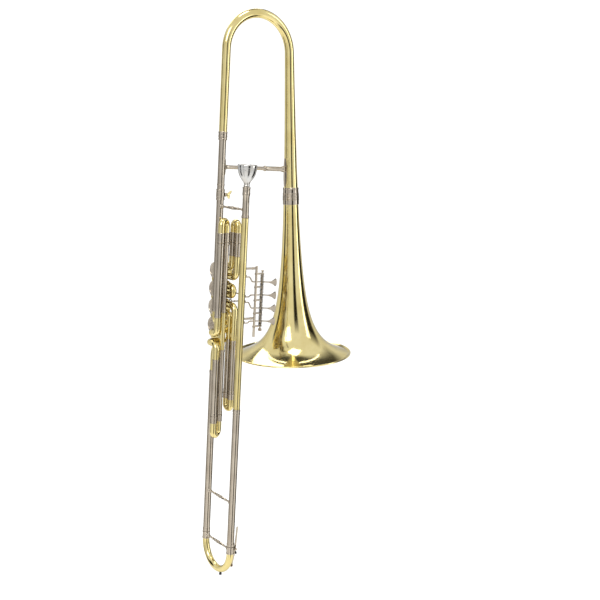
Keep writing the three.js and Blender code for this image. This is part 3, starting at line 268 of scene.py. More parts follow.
def material_for(slot):
    """The finish of a material slot, made once."""
    name = "finish_" + slot
    found = bpy.data.materials.get(name)
    if found:
        return found
    tone = colours()
    if slot == BRASS:
        # Yellow brass, buffed and clear lacquered: mirror gloss with a warm, slightly uneven gold. Its edge tint of
        # 0.45 is painted shade on its rims.
        return polished_metal(name, tone.brass, tone.brass_deep, 0.1, 45, 0.5, 0.25, 0.45)
    if slot == NICKEL:
        # Nickel silver, buffed and bare: greyer and softer than plate, dulled by hands. Its edge tint of 0 is painted
        # shade that darkens its rims, a painted reflection of dark surroundings.
        return polished_metal(name, tone.nickel, tone.nickel_deep, 0.1, 40, 0.5, 0.0, 0.0)
    if slot == SILVER:
        # Silver plate on turned brass: the brightest metal here, with a cold white gloss. Its edge tint of 0.3 is
        # painted shade on its rims.
        return polished_metal(name, tone.silver, tone.nickel, 0.15, 25, 0.4, 0.0, 0.3)
    if slot == STEEL:
        # Blued steel wire: dark with a narrow highlight along each turn.
        return polished_metal(name, tone.spring, tone.rubber, 0.3, 6, 0.3, 0.0)
    if slot == CORK:
        # Pressed cork: matt brown with dark specks.
        return soft_material(name, tone.cork, tone.rubber, 0.85, 0.8, 0.08)
    # Moulded rubber: black with a low sheen.
    return soft_material(name, tone.rubber, tone.spring, 0.6, 0.5, 0.02)


# Making meshes


def new_object(name, data):
    """Links a mesh, light or camera to the scene as an object at the origin."""
    made = bpy.data.objects.new(name, data)
    bpy.context.scene.collection.objects.link(made)
    return made


def dropped(made):
    """Removes an object with its mesh."""
    mesh = made.data
    bpy.data.objects.remove(made)
    bpy.data.meshes.remove(mesh)


def plain(made):
    """Applies an object's modifiers, so that it holds a plain mesh."""
    graph = bpy.context.evaluated_depsgraph_get()
    graph.update()
    mesh = bpy.data.meshes.new_from_object(made.evaluated_get(graph), depsgraph=graph)
    made.modifiers.clear()
    old = made.data
    made.data = mesh
    mesh.name = made.name
    bpy.data.meshes.remove(old)
    return made


def finished(made, slot, body, *nodes):
    """Shades, paints and hands over a finished piece."""
    mesh = made.data
    mesh.materials.clear()
    mesh.materials.append(material_for(slot))
    mesh.polygons.foreach_set("material_index", [0] * len(mesh.polygons))
    mesh.shade_smooth()
    mesh.set_sharp_from_angle(angle=math.radians(32))
    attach(made, body)
    if nodes:
        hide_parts(*nodes)


def bevelled(made, width, segments=3):
    """Breaks the sharp edges of a piece, as a buffing wheel does."""
    bevel = made.modifiers.new("edges", "BEVEL")
    bevel.width = width * MM
    bevel.segments = segments
    bevel.limit_method = "ANGLE"
    bevel.angle_limit = math.radians(50)
    bevel.harden_normals = False
    return plain(made)


def faced_outwards(mesh, weld=False):
    """Turns a mesh's faces outwards, and can merge its doubles first."""
    work = bmesh.new()
    work.from_mesh(mesh)
    if weld:
        bmesh.ops.remove_doubles(work, verts=work.verts, dist=MM / 1000)
        bmesh.ops.dissolve_degenerate(work, edges=work.edges, dist=MM / 1000)
    bmesh.ops.recalc_face_normals(work, faces=work.faces)
    work.to_mesh(mesh)
    work.free()


def mesh_from(name, points, faces):
    """A mesh object from points and faces, with its doubles merged and its faces turned outwards."""
    mesh = bpy.data.meshes.new(name)
    mesh.from_pydata(points, [], faces)
    faced_outwards(mesh, weld=True)
    return new_object(name, mesh)


def curve_point(start, knot, end, t):
    """A point on the curve that leaves start towards knot and comes in to end from it."""
    return start * (1 - t) ** 2 + knot * (2 * t * (1 - t)) + end * t ** 2


def smooth_profile(profile, steps=4):
    """Rounds a turned profile: points given as lists, in place of tuples, are passed in a curve."""
    made = []
    for i, entry in enumerate(profile):
        here = Vector(entry)
        if isinstance(entry, tuple) or i in (0, len(profile) - 1):
            made.append(here)
            continue
        start, end = (here.lerp(Vector(profile[k]), 0.45) for k in (i - 1, i + 1))
        made += [curve_point(start, here, end, s / steps) for s in range(steps + 1)]
    return made


def turned(name, profile, origin, axis, sides=None, side=None):
    """Turns a profile of (radius, distance) pairs in millimetres about an axis through origin.

    A pair that is a list is a soft point, and side is a direction that one of the facets' corners faces."""
    sides = sides or sizes().turned_sides
    line = smooth_profile(profile)
    side = side or (UP if abs(axis.dot(UP)) < 0.9 else RIGHT)
    side = (side - axis * side.dot(axis)).normalized()
    other = axis.cross(side)
    points = []
    for radius, distance in line:
        centre = origin + axis * distance * MM
        for k in range(sides):
            angle = 2 * math.pi * k / sides
            points.append(centre + (side * math.cos(angle) + other * math.sin(angle)) * max(radius, 0) * MM)
    faces = []
    for row in range(0, (len(line) - 1) * sides, sides):
        for k in range(sides):
            near = (k + 1) % sides
            faces.append((row + k, row + near, row + sides + near, row + sides + k))
    return mesh_from(name, points, faces)


def bent_line(corners, bends, steps=10):
    """Points along straight runs and round bends, with corners in metres and bends in millimetres."""
    line = [corners[0]]
    for i in range(1, len(corners) - 1):
        bend = (bends[i - 1] if isinstance(bends, list) else bends) * MM
        before = (corners[i] - corners[i - 1]).normalized()
        after = (corners[i + 1] - corners[i]).normalized()
        angle = before.angle(after)
        inward = (after - before * before.dot(after)).normalized()
        centre = corners[i] - before * bend * math.tan(angle / 2) + inward * bend
        count = max(2, round(steps * angle / (math.pi / 2)))
        for s in range(count + 1):
            turn = angle * s / count
            spot = centre - inward * bend * math.cos(turn) + before * bend * math.sin(turn)
            if (spot - line[-1]).length > MM / 50:
                line.append(spot)
    if (corners[-1] - line[-1]).length > MM / 50:
        line.append(corners[-1])
    return line


def tube_nodes(tree, given):
    """A round skin along a line, as wide at each point as the line's width attribute says."""
    line = add_node(tree, "GeometryNodeMeshToCurve", links={"Mesh": given["Geometry"]})
    ring = add_node(tree, "GeometryNodeCurvePrimitiveCircle", {"Radius": 1.0}, {"Resolution": given["Sides"]})
    width = add_node(tree, "GeometryNodeInputNamedAttribute", {"data_type": "FLOAT", "Name": "width"})
    skin = add_node(tree, "GeometryNodeCurveToMesh", {"Fill Caps": True},
                    {"Curve": line.outputs["Curve"], "Profile Curve": ring.outputs["Curve"],
                     "Scale": width.outputs["Attribute"]})
    return skin.outputs["Mesh"]


def round_nodes(tree, given):
    """Copies of a small body, evenly spaced round the local Z axis."""
    circle = add_node(tree, "GeometryNodeMeshCircle", links={"Vertices": given["Count"], "Radius": given["Radius"]})
    spot = add_node(tree, "GeometryNodeInputPosition")
    turn = add_node(tree, "FunctionNodeAlignRotationToVector", {"axis": "X"}, {"Vector": spot.outputs["Position"]})
    copies = add_node(tree, "GeometryNodeInstanceOnPoints",
                      links={"Points": circle.outputs["Mesh"], "Instance": given["Geometry"],
                             "Rotation": turn.outputs["Rotation"]})
    return copies.outputs["Instances"]


def row_nodes(tree, given):
    """Copies of a small body in a straight row."""
    line = add_node(tree, "GeometryNodeMeshLine", links={"Count": given["Count"], "Offset": given["Step"]})
    copies = add_node(tree, "GeometryNodeInstanceOnPoints",
                      links={"Points": line.outputs["Mesh"], "Instance": given["Geometry"]})
    return copies.outputs["Instances"]


TREES = {
    "Tube along a line": (tube_nodes, {"Sides": ("Int", 28)}),
    "Copies round an axis": (round_nodes, {"Count": ("Int", 12), "Radius": ("Float", 0.01)}),
    "Copies in a row": (row_nodes, {"Count": ("Int", 2), "Step": ("Vector", (0.0, 0.0, 0.01))}),
}


def tree_named(name):
    """One of the Geometry Nodes trees, made once. It ends in a real mesh with its finish on it."""
    found = bpy.data.node_groups.get(name)
    if found:
        return found
    fill, inputs = TREES[name]
    tree = bpy.data.node_groups.new(name, "GeometryNodeTree")
    for label, (kind, default) in {
            "Geometry": ("Geometry", None), **inputs, "Finish": ("Material", None)}.items():
        socket = tree.interface.new_socket(label, in_out="INPUT", socket_type="NodeSocket" + kind)
        if default:
            socket.default_value = default
    tree.interface.new_socket("Geometry", in_out="OUTPUT", socket_type="NodeSocketGeometry")
    given = tree.nodes.new("NodeGroupInput").outputs
    real = add_node(tree, "GeometryNodeRealizeInstances", links={"Geometry": fill(tree, given)})
    painted = add_node(tree, "GeometryNodeSetMaterial",
                       links={"Geometry": real.outputs["Geometry"], "Material": given["Finish"]})
    add_node(tree, "NodeGroupOutput", links={"Geometry": painted.outputs["Geometry"]})
    return tree


def with_tree(made, name, values, slot):
    """Runs a tree on an object and keeps the result as a plain mesh."""
    tree = tree_named(name)
    modifier = made.modifiers.new(name, "NODES")
    modifier.node_group = tree
    sockets = {item.name: item.identifier for item in tree.interface.items_tree if item.in_out == "INPUT"}
    for label, value in {**values, "Finish": material_for(slot)}.items():
        modifier[sockets[label]] = value
    return plain(made)


def tube(name, line, width, slot, sides=None):
    """A closed tube or rod along a line; width is one radius or one for each point, in metres."""
    mesh = bpy.data.meshes.new(name)
    mesh.from_pydata(line, [(i, i + 1) for i in range(len(line) - 1)], [])
    widths = width if isinstance(width, list) else [width] * len(line)
    mesh.attributes.new("width", "FLOAT", "POINT").data.foreach_set("value", widths)
    made = with_tree(new_object(name, mesh), "Tube along a line", {"Sides": sides or sizes().tube_sides}, slot)
    faced_outwards(made.data)
    return made


def join(name, parts):
    """Makes one mesh of several, as where pieces are brazed together."""
    work = bmesh.new()
    for part in parts:
        work.from_mesh(part.data)
    mesh = bpy.data.meshes.new(name)
    work.to_mesh(mesh)
    work.free()
    for part in parts:
        dropped(part)
    return new_object(name, mesh)


def cut_with(made, cutters):
    """Takes the shapes of other closed meshes out of a piece."""
    for cutter in cutters:
        step = made.modifiers.new("cut", "BOOLEAN")
        step.operation = "DIFFERENCE"
        step.solver = "EXACT"
        step.object = cutter
        plain(made)
        dropped(cutter)
    return made


def plate(name, outline, thickness, origin, across, along, bevel=0.0):
    """A flat plate with an outline given in millimetres along two directions, extruded along their normal."""
    normal = across.cross(along).normalized()
    count = len(outline)
    points = [origin + (across * u + along * v + normal * layer) * MM for layer in (0, thickness) for u, v in outline]
    faces = [tuple(reversed(range(count))), tuple(range(count, 2 * count))]
    for k in range(count):
        near = (k + 1) % count
        faces.append((k, near, count + near, count + k))
    made = mesh_from(name, points, faces)
    return bevelled(made, bevel) if bevel else made


def grid_plate(name, layers, steps, across, place):
    """A curved plate between two grids of points, the inner layer first.

    place gives a point from its layer, its share of the way along (0 to 1) and its place across (-1 to 1)."""
    points = [place(layer, i / steps, 2 * k / across - 1)
              for layer in layers for i in range(steps + 1) for k in range(across + 1)]
    width = across + 1
    layer = (steps + 1) * width
    faces = []
    for i in range(steps):
        for k in range(across):
            a = i * width + k
            faces.append((a, a + 1, a + width + 1, a + width))
            faces.append((layer + a, layer + a + width, layer + a + width + 1, layer + a + 1))
    edge = [*range(width), *(i * width + across for i in range(1, steps + 1)),
            *(steps * width + k for k in range(across - 1, -1, -1)), *(i * width for i in range(steps - 1, 0, -1))]
    for here, after in zip(edge, edge[1:] + edge[:1]):
        faces.append((here, layer + here, layer + after, after))
    return mesh_from(name, points, faces)


def arc(u, v, radius, start, sweep, steps):
    """Points round part of a circle."""
    angles = (start + sweep * i / steps for i in range(steps + 1))
    return [(u + radius * math.cos(angle), v + radius * math.sin(angle)) for angle in angles]


def rounded_outline(corners, radius, steps=8):
    """Rounds the corners of an outline."""
    made = []
    for i, here in enumerate(corners):
        before = (corners[i - 1] - here).normalized()
        after = (corners[(i + 1) % len(corners)] - here).normalized()
        half = before.angle(after) / 2
        start, end = (here + way * radius / math.tan(half) for way in (before, after))
        middle = here + (before + after).normalized() * radius / math.sin(half)
        made += [middle + (start.lerp(end, s / steps) - middle).normalized() * radius for s in range(steps + 1)]
    return made


def ring_round(name, inner, outer, thickness, origin, axis, sides=32, soft=0.4):
    """A flat ring with softened edges, in millimetres."""
    profile = [(inner, soft), (inner + soft, 0), (outer - soft, 0), (outer, soft), (outer, thickness - soft),
               (outer - soft, thickness), (inner + soft, thickness), (inner, thickness - soft), (inner, soft)]
    return turned(name, profile, origin, axis, sides)


def milled_teeth(half, flat, wide, narrow, count, radius, place):
    """The teeth of a milled rim round the local Z axis, put in place by a matrix."""
    profile = [(0, -half), [narrow, 0.3 - half], (wide, -flat), (wide, flat), [narrow, half - 0.3], (0, half)]
    tooth = turned("tooth", profile, Vector(), UP, 8)
    teeth = with_tree(tooth, "Copies round an axis", {"Count": count, "Radius": radius * MM}, NICKEL)
    teeth.data.transform(place)
    return teeth


def screw_head(name, radius, slot_turn):
    """A low round screw head with its slot, which stands on the origin and faces forward."""
    profile = [(0, -0.6), (radius * 0.7, -0.6), (radius, 0), [radius, 0.3], [radius * 0.7, 0.8], [radius * 0.3, 1.0],
               (0, 1.0)]
    along = RIGHT * math.cos(slot_turn) + UP * math.sin(slot_turn)
    reach = radius * 1.2
    wide = radius * 0.24
    corners = [(-reach, -wide), (reach, -wide), (reach, wide), (-reach, wide)]
    groove = plate("groove", corners, 1.4, FORWARD * 0.45 * MM, along, FORWARD.cross(along))
    return cut_with(turned(name, profile, Vector(), FORWARD, 24), [groove])


# Straight legs, sleeves and ferrules


def banded(span, radius, bore, rings, edge=0.2, ease=0.1):
    """A sleeve's profile with raised rings given as (middle, half width, extra radius), in millimetres."""
    profile = [(bore, 0), (radius - edge, 0), (radius, edge)]
    for middle, half, extra in rings:
        low = max(middle - half, edge + 0.05)
        high = min(middle + half, span - edge - 0.05)
        crest = radius + extra
        profile += [(radius, low), [crest, low + ease], (crest, (low + high) / 2), [crest, high - ease],
                    (radius, high)]
    return profile + [(radius, span - edge), (radius - edge, span), (bore, span), (bore, 0)]


def straight_tube(name, x, y, top, foot, radius, bore, slot, nodes=(), rings=()):
    """A drawn tube along Z. rings are (height, half width, extra radius) of raised bands with round edges."""
    bands = [(height - foot, half, extra) for height, half, extra in sorted(rings)]
    profile = banded(top - foot, radius, bore, bands, 0.25, 0.15)
    finished(turned(name, profile, at(x, y, foot), UP), slot, BASE, *nodes)


def loop_sleeve(name, x, y, end, start, nodes=(), inset=2.5, half=2.2):
    """An outer sleeve of a valve slide, with a ring at its open end and one inset from where it starts."""
    inward = math.copysign(1, start - end)
    rings = ((end + 3 * inward, 2.6, 0.5), (start - inset * inward, half, 0.4))
    straight_tube(name, x, y, max(start, end), min(start, end), in_mm(sizes().loop_radius), LOOP_BORE, NICKEL, nodes,
                  rings)


def clear_of_casing(made, valve):
    """Fits a tube's end to the inside of a casing's wall, so that the rotor stays free."""
    axis = casing_axis(valve, 0)
    room = ROTOR_ROOM * MM
    for vertex in made.data.vertices:
        across = vertex.co.y - axis.y
        rise = vertex.co.z - axis.z
        if math.hypot(across, rise) < room:
            vertex.co.y = axis.y + math.copysign(math.sqrt(room ** 2 - rise ** 2), across)


def bent_tube(name, node, valves, bends, *corners):
    """A bent brass tube, fitted to the casings of the valves that it enters."""
    made = tube(name, bent_line([at(*corner) for corner in corners], bends), sizes().loop_radius, BRASS)
    for valve in valves:
        clear_of_casing(made, valve)
    finished(made, BRASS, BASE, node)


def casing_axis(index, x):
    """A point on a valve's axis."""
    return at(x, VALVE_DEPTH, VALVE_HEIGHTS[index])


class TROMBONE_OT_legs(bpy.types.Operator):
    """Builds the drawn tubes of the two legs"""

    bl_idname = "trombone.legs"
    bl_label = "Legs"

    def execute(self, context):
        radius = in_mm(sizes().leg_radius)
        for name, y, top, foot, node, rings in (
            ("upper_leg_tube", 0, 318, -22, "upper_leg", ((-19, 2.6, 0.5), (225, 1.4, 0.6))),
            ("lower_leg_sleeve", 0, -140, SLEEVE_END, "lower_leg", ((-470.4, 3.4, 0.6), (-143, 2.4, 0.45))),
            ("mouthpipe_slide_sleeve", -SLIDE_SPACING, -198, SLEEVE_END, "mouthpipe_sleeve",
             ((-470.4, 3.4, 0.6), (-201, 2.4, 0.5), (-207, 1, 0.35))),
        ):
            straight_tube(name, 0, y, top, foot, radius, LEG_BORE, NICKEL, (node,), rings)
        straight_tube("lead_pipe_tube", 0, -SLIDE_SPACING, 168.7, -197.7, 6.6, 6.0, BRASS, ("lead_pipe",))
        return {"FINISHED"}


class TROMBONE_OT_valve_tubes(bpy.types.Operator):
    """Builds the bent tubes that lead in and out of the valves"""

    bl_idname = "trombone.valve_tubes"
    bl_label = "Valve tubes"

    def execute(self, context):
        x = PORT_PLANE
        top = VALVE_HEIGHTS[0] + PORT_SPREAD
        low = VALVE_HEIGHTS[3] - PORT_SPREAD
        elbow = VALVE_HEIGHTS[3] + PORT_SPREAD
        under = low - 20
        behind = VALVE_DEPTH + 27
        feed = -97.5
        bent_tube("upper_leg_bend", "upper_leg_elbow", (3,), [12, 10],
                  (0, 0, -22.2), (0, 0, elbow), (x, 0, elbow), (x, FRONT_END, elbow))
        bent_tube("feed_bend", "feed_tube", (0,), [14, 14, 10, 10],
                  (0, 0, -139.7), (0, 0, feed), (46, 50, feed), (46, 50, top), (x, 50, top), (x, REAR_END, top))
        bent_tube("fourth_rear_bend", "fourth_loop_rear_tube", (3,), [12, 12, 10],
                  (*REAR, -30), (*REAR, low), (REAR[0], 0, low), (x, 0, low), (x, FRONT_END, low))
        bent_tube("fourth_lower_bend", "fourth_loop_lower_tube", (3,), [12, 10, 10, 10, 10],
                  (*REAR, -112), (*REAR, under), (REAR[0], 3, under), (x, 3, under), (x, behind, under),
                  (x, behind, low), (x, REAR_END, low))
        for i in range(3):
            high = VALVE_HEIGHTS[i] - PORT_SPREAD
            foot = VALVE_HEIGHTS[i + 1] + PORT_SPREAD
            bend = (high - foot) / 2
            reach = VALVE_DEPTH + 17 + bend
            bent_tube(f"knuckle_{i + 1}", f"valve_knuckle_{i + 1}", (i, i + 1), bend,
                      (x, REAR_END, high), (x, reach, high), (x, reach, foot), (x, REAR_END, foot))
        loop_sleeve("fourth_rear_upper_sleeve", *REAR, 115, -30, ("fourth_loop_rear_tube",), inset=3)
        loop_sleeve("fourth_front_upper_sleeve", *FRONT, 115, -22, ("fourth_loop_front_tube",))
        loop_sleeve("fourth_front_lower_sleeve", *FRONT, -226, -96, ("fourth_loop_front_tube",))
        loop_sleeve("fourth_rear_lower_sleeve", *REAR, -226, -112, ("fourth_loop_lower_tube",))
        bent_tube("fourth_front_middle_tube", "fourth_loop_front_tube", (), 0, (*FRONT, -22.2), (*FRONT, -95.8))
        return {"FINISHED"}


def slide_bow(name, ends, way, reach, bend, ferrule, insertion):
    """A pull-out slide that starts at the ends of two sleeves: inner legs, ferrules and a round bow."""
    node = name.replace("_", "_valve_", 1)
    ends = [at(*end) for end in ends]
    near = way * (ferrule - 1) * MM
    far = way * reach * MM
    radius = in_mm(sizes().loop_radius)
    line = bent_line([ends[0] + near, ends[0] + far, ends[1] + far, ends[1] + near], bend, 14)
    finished(tube(name + "_bow", line, radius * MM, BRASS), BRASS, name, node)
    inner = radius - 0.9
    long = insertion - GAP
    parts = []
    for end in ends:
        profile = banded(ferrule, radius + 0.45, 1.0, ((1.6, 1.3, 0.5), (ferrule - 1.4, 0.9, 0.35)))
        parts.append(turned("ferrule", profile, end, way, 32))
        leg = [(0, 0), (inner - 0.4, 0), (inner, 0.4), (inner, long), (0, long)]
        parts.append(turned("leg", leg, end - way * insertion * MM, way, 32))
    finished(join(name + "_ferrules", parts), NICKEL, name, node)


class TROMBONE_OT_valve_slides(bpy.types.Operator):
    """Builds the tuning slides of the valves and their outer sleeves"""

    bl_idname = "trombone.valve_slides"
    bl_label = "Valve slides"

    def execute(self, context):
        x = PORT_PLANE
        first, second, third = VALVE_HEIGHTS[:3]
        for name, y, height, start, end, valve in (
            ("first_loop_rear", FRONT_LEG, first + PORT_SPREAD, 88, 115, 0),
            ("first_loop_front", OUTER_LEG, first - PORT_SPREAD, 88, 115, 0),
            ("third_loop_rear", FRONT_LEG, third - PORT_SPREAD, -77, -184, 2),
            ("third_loop_front", OUTER_LEG, third + PORT_SPREAD, -77, -184, 2),
        ):
            bent_tube(name + "_bend", f"valve_casing_{valve + 1}", (valve,), 12,
                      (x, y, start), (x, y, height), (x, FRONT_END, height))
            loop_sleeve(name + "_sleeve", x, y, end, start, inset=2.2, half=1.9)
        apart = math.dist(FRONT, REAR) / 2
        high = second + PORT_SPREAD
        low = second - PORT_SPREAD
        slide_bow("first_slide", [(x, y, 115.3) for y in (FRONT_LEG, OUTER_LEG)], UP, 38.7, 8.6, 19.3, 24)
        slide_bow("third_slide", [(x, y, -184.3) for y in (FRONT_LEG, OUTER_LEG)], DOWN, 31.3, 8.6, 12, 24)
        slide_bow("fourth_upper_slide", [(*REAR, 115.3), (*FRONT, 115.3)], UP, 41.7, apart, 19, 24)
        slide_bow("fourth_lower_slide", [(*REAR, -226.3), (*FRONT, -226.3)], DOWN, 40.3, apart, 14, 24)
        slide_bow("second_slide", [(x, -2.3, high), (x, -2.3, low)], FORWARD, 18.3, 8.6, 5, 8)
        for i, height in enumerate((high, low)):
            profile = banded(25.9, in_mm(sizes().loop_radius), LOOP_BORE, ((1.6, 1.4, 0.5),))
            made = turned(f"second_loop_sleeve_{i + 1}", profile, at(x, -2, height), BACK, 32)
            clear_of_casing(made, 1)
            finished(made, NICKEL, BASE, "valve_casing_2")
        return {"FINISHED"}


class TROMBONE_OT_main_slide(bpy.types.Operator):
    """Builds the main tuning slide with its bow, ferrules and rubber nub"""

    bl_idname = "trombone.main_slide"
    bl_label = "Main tuning slide"

    def execute(self, context):
        body = "tuning_slide"
        node = "main_tuning_slide"
        lanes = (0, -SLIDE_SPACING)
        top = SLEEVE_END - GAP
        foot = top - 15
        bend = SLIDE_SPACING / 2
        corners = [at(0, lanes[0], foot + 1), *(at(0, y, foot - bend) for y in lanes), at(0, lanes[1], foot + 1)]
        finished(tube("bottom_bow", bent_line(corners, bend, 20), sizes().leg_radius, BRASS, 36), BRASS, body, node)
        parts = []
        for y in lanes:
            profile = banded(15, 7.3, 3, ((1.2, 1.0, 0.5), (13.4, 1.4, 0.5)))
            parts.append(turned("ferrule", profile, at(0, y, foot), UP))
            leg = [(0, 0), (5.95, 0), (5.95, 129.2), (5.4, 130), (0, 130)]
            parts.append(turned("leg", leg, at(0, y, top), UP))
        finished(join("bottom_bow_ferrules", parts), NICKEL, body, node)
        profile = [(0, 0), [1.6, 0], [3, 0.5], (3, 2.4), [2.6, 3.1], (2.4, 4.2), (2.4, 6.9), (0, 6.9)]
        nub = turned("bumper_nub", profile, at(0, -bend - 14, -545.64), UP, 24)
        finished(nub, RUBBER, body, "bumper")
        return {"FINISHED"}


# Stays, bell and mouthpiece


def baluster(name, height, near, far, body, node):
    """An ornamental turned stay between the legs, with its feet brazed to them."""
    sunk = 0.86
    span = SLIDE_SPACING - (near + far) * sunk
    middle = span / 2
    half = [(0, 0), (4.6, 0), [4.4, 1.2], [2.6, 2.2], (2.3, 4.2), [3.1, 4.9], [3.1, 5.6], (1.9, 6.6), (1.75, 9),
            (1.9, middle - 21), [2.6, middle - 20], [2.6, middle - 18.6], (1.6, middle - 17.4), [2.5, middle - 12],
            [3.0, middle - 8], (1.7, middle - 4.4), [2.9, middle - 3.4], [3.2, middle - 1.5]]
    whole = half + [type(entry)((entry[0], span - entry[1])) for entry in reversed(half)]
    finished(turned(name, whole, at(0, -near * sunk, height), FORWARD, 28), NICKEL, body, node)


class TROMBONE_OT_stays(bpy.types.Operator):
    """Builds the turned stays, the bell brace and its two plates"""

    bl_idname = "trombone.stays"
    bl_label = "Stays and brace"

    def execute(self, context):
        baluster("upper_baluster", 184, 6.9, 6.4, BASE, "receiver_stay")
        baluster("sleeve_baluster", -387, 6.9, 6.9, BASE, "fixed_stay")
        baluster("slide_baluster", -481.5, 7.5, 7.5, "tuning_slide", "slide_stay")
        height = 259
        profile = [(0, 0), (6.6, 0), [6.2, 1.6], [4.6, 2.6], [3.6, 4.6], (3.5, 40), (3.5, 91), [4.6, 91.6],
                   [5.5, 92.4], [5.5, 94.4], [4.5, 95.4], (4.3, 97), (4.6, 132), [5.6, 135], [6.4, 138], (0, 138)]
        rod = turned("rod", profile, at(6.5, 0, height), RIGHT, 40)
        made = join("bell_brace", [rod, bell_saddle(height), leg_flange(height)])
        finished(bevelled(made, 0.3, 2), NICKEL, BASE, "cross_brace")
        return {"FINISHED"}


def flare(from_rim):
    """The bell's radius in metres at a distance back from its rim."""
    size = sizes()
    return size.bell_radius * (size.flare_shift / (from_rim + size.flare_shift)) ** size.flare_power


def bell_saddle(height):
    """The brace's plate that hugs the bell's tail on the side that faces the left leg."""
    start = (BOW_END.z - height * MM) / math.cos(BELL_LEAN) - 22.4 * MM
    side = BACK.cross(BELL_AXIS)

    def place(layer, share, v):
        reach = start + 56 * MM * share
        angle = math.radians(20) * (1 - 0.55 * abs(share * 2 - 1) ** 3) * v
        radius = flare(sizes().bell_reach - reach) + layer * MM
        return BOW_END + BELL_AXIS * reach + (side * math.cos(angle) + BACK * math.sin(angle)) * radius

    return grid_plate("saddle", (0.15, 1.5), 14, 9, place)


def leg_flange(height):
    """The brace's narrow plate that hugs the left leg."""

    def place(layer, share, v):
        angle = math.radians(34) * (1 - 0.6 * abs(share * 2 - 1) ** 2.4) * v
        radius = in_mm(sizes().leg_radius) + layer
        return at(radius * math.cos(angle), radius * math.sin(angle), height + 30 * (share - 0.5))

    return grid_plate("flange", (0.05, 1.3), 12, 8, place)


class TROMBONE_OT_bell(bpy.types.Operator):
    """Builds the bell bow, the bell with its rolled rim, and their ferrules"""

    bl_idname = "trombone.bell"
    bl_label = "Bell"

    def execute(self, context):
        build_bow()
        build_bell()
        build_garland()
        profile = [(7.0, 0), [7.9, 0], [8.5, 0.6], (8.5, 2.4), (8.0, 3.0), (8.0, 5.2), [8.7, 5.8], [8.7, 7.6],
                   (8.3, 8.2), (8.3, 12.4), [8.8, 13], [8.8, 15.2], (8.1, 16), (7.86, 16), (7.86, 8.3), (7.0, 8.3),
                   (7.0, 0)]
        finished(turned("bow_joint_ferrule", profile, at(0, 0, 310), UP), NICKEL, BASE, "bow_ferrule")
        return {"FINISHED"}


def build_bow():
    """The bell bow, which widens from the left leg over the bend, and the bell's tail down to its garland."""
    size = sizes()
    bend = size.bow_bend
    sweep = math.pi - BELL_LEAN
    foot = 318.3 * MM
    centre = 481 * MM
    straight = centre - foot
    end = flare(size.bell_reach)
    line = []
    widths = []

    def add(spot, run):
        line.append(spot)
        widths.append(size.bow_tube + (end - size.bow_tube) * run / (straight + bend * sweep))

    for i in range(9):
        run = straight * i / 9
        add(Vector((0, 0, foot + run)), run)
    for i in range(73):
        turn = sweep * i / 72
        add(Vector((bend * (1 - math.cos(turn)), 0, centre + bend * math.sin(turn))), straight + bend * turn)
    for i in range(1, 31):
        reach = (size.bell_reach - BELL_JOINT * MM) * i / 30
        line.append(BOW_END + BELL_AXIS * reach)
        widths.append(flare(size.bell_reach - reach))
    finished(tube("bell_bow_tube", line, widths, BRASS, 56), BRASS, BASE, "bell_bow")


def build_bell():
    """The bell's wall from the garland to the rim, which is rolled round a wire."""
    size = sizes()
    wall = 0.8
    wire = 1.6
    joint = BELL_JOINT - GAP
    steps = 90
    outer = []
    inner = []
    for i in range(steps + 1):
        share = i / steps
        back = (joint * (1 - share) ** 2.6 + wire * share) * MM
        radius = flare(back)
        slope = size.flare_power * radius / (back + size.flare_shift)
        tilt = math.hypot(1, slope)
        along = (size.bell_reach - back) / MM
        outer.append((radius / MM, along))
        inner.append((radius / MM - wall / tilt, along + wall * slope / tilt))
    inset = 1.7
    rim = size.bell_radius / MM - inset
    outer = [entry for entry in outer if entry[0] < rim - 0.4]
    inner = [entry for entry in inner if entry[0] < rim - 1.9]
    bead = arc(rim, size.bell_reach / MM - inset, wire, math.radians(-150), math.radians(300), 12)
    profile = outer + bead + inner[::-1] + outer[:1]
    made = turned("bell_flare", profile, BOW_END, BELL_AXIS, size.bell_sides, BACK)
    finished(made, BRASS, BASE, "bell_flare", "bell_throat")


def build_garland():
    """The bell's ferrule, with its six raised rings."""
    size = sizes()
    start = size.bell_reach / MM - BELL_JOINT - GARLAND * 0.4

    def on_tail(along, extra):
        return (flare(size.bell_reach - (start + along) * MM) / MM + extra, along)

    inside = [on_tail(0, 0.12), on_tail(GARLAND, 0.12)]
    outside = [on_tail(0, 0.7), on_tail(0.5, 1.15)]
    for middle in (3, 12, 15, 18, 21, 24):
        outside += [on_tail(middle - 1.1, 1.15), list(on_tail(middle - 0.7, 1.9)), on_tail(middle, 2.0),
                    list(on_tail(middle + 0.7, 1.9)), on_tail(middle + 1.1, 1.15)]
    outside += [on_tail(GARLAND - 0.5, 1.15), on_tail(GARLAND, 0.7)]
    profile = inside[:1] + outside + inside[::-1]
    made = turned("bell_garland", profile, BOW_END + BELL_AXIS * start * MM, BELL_AXIS, 64, BACK)
    finished(made, NICKEL, BASE, "bell_ferrule")


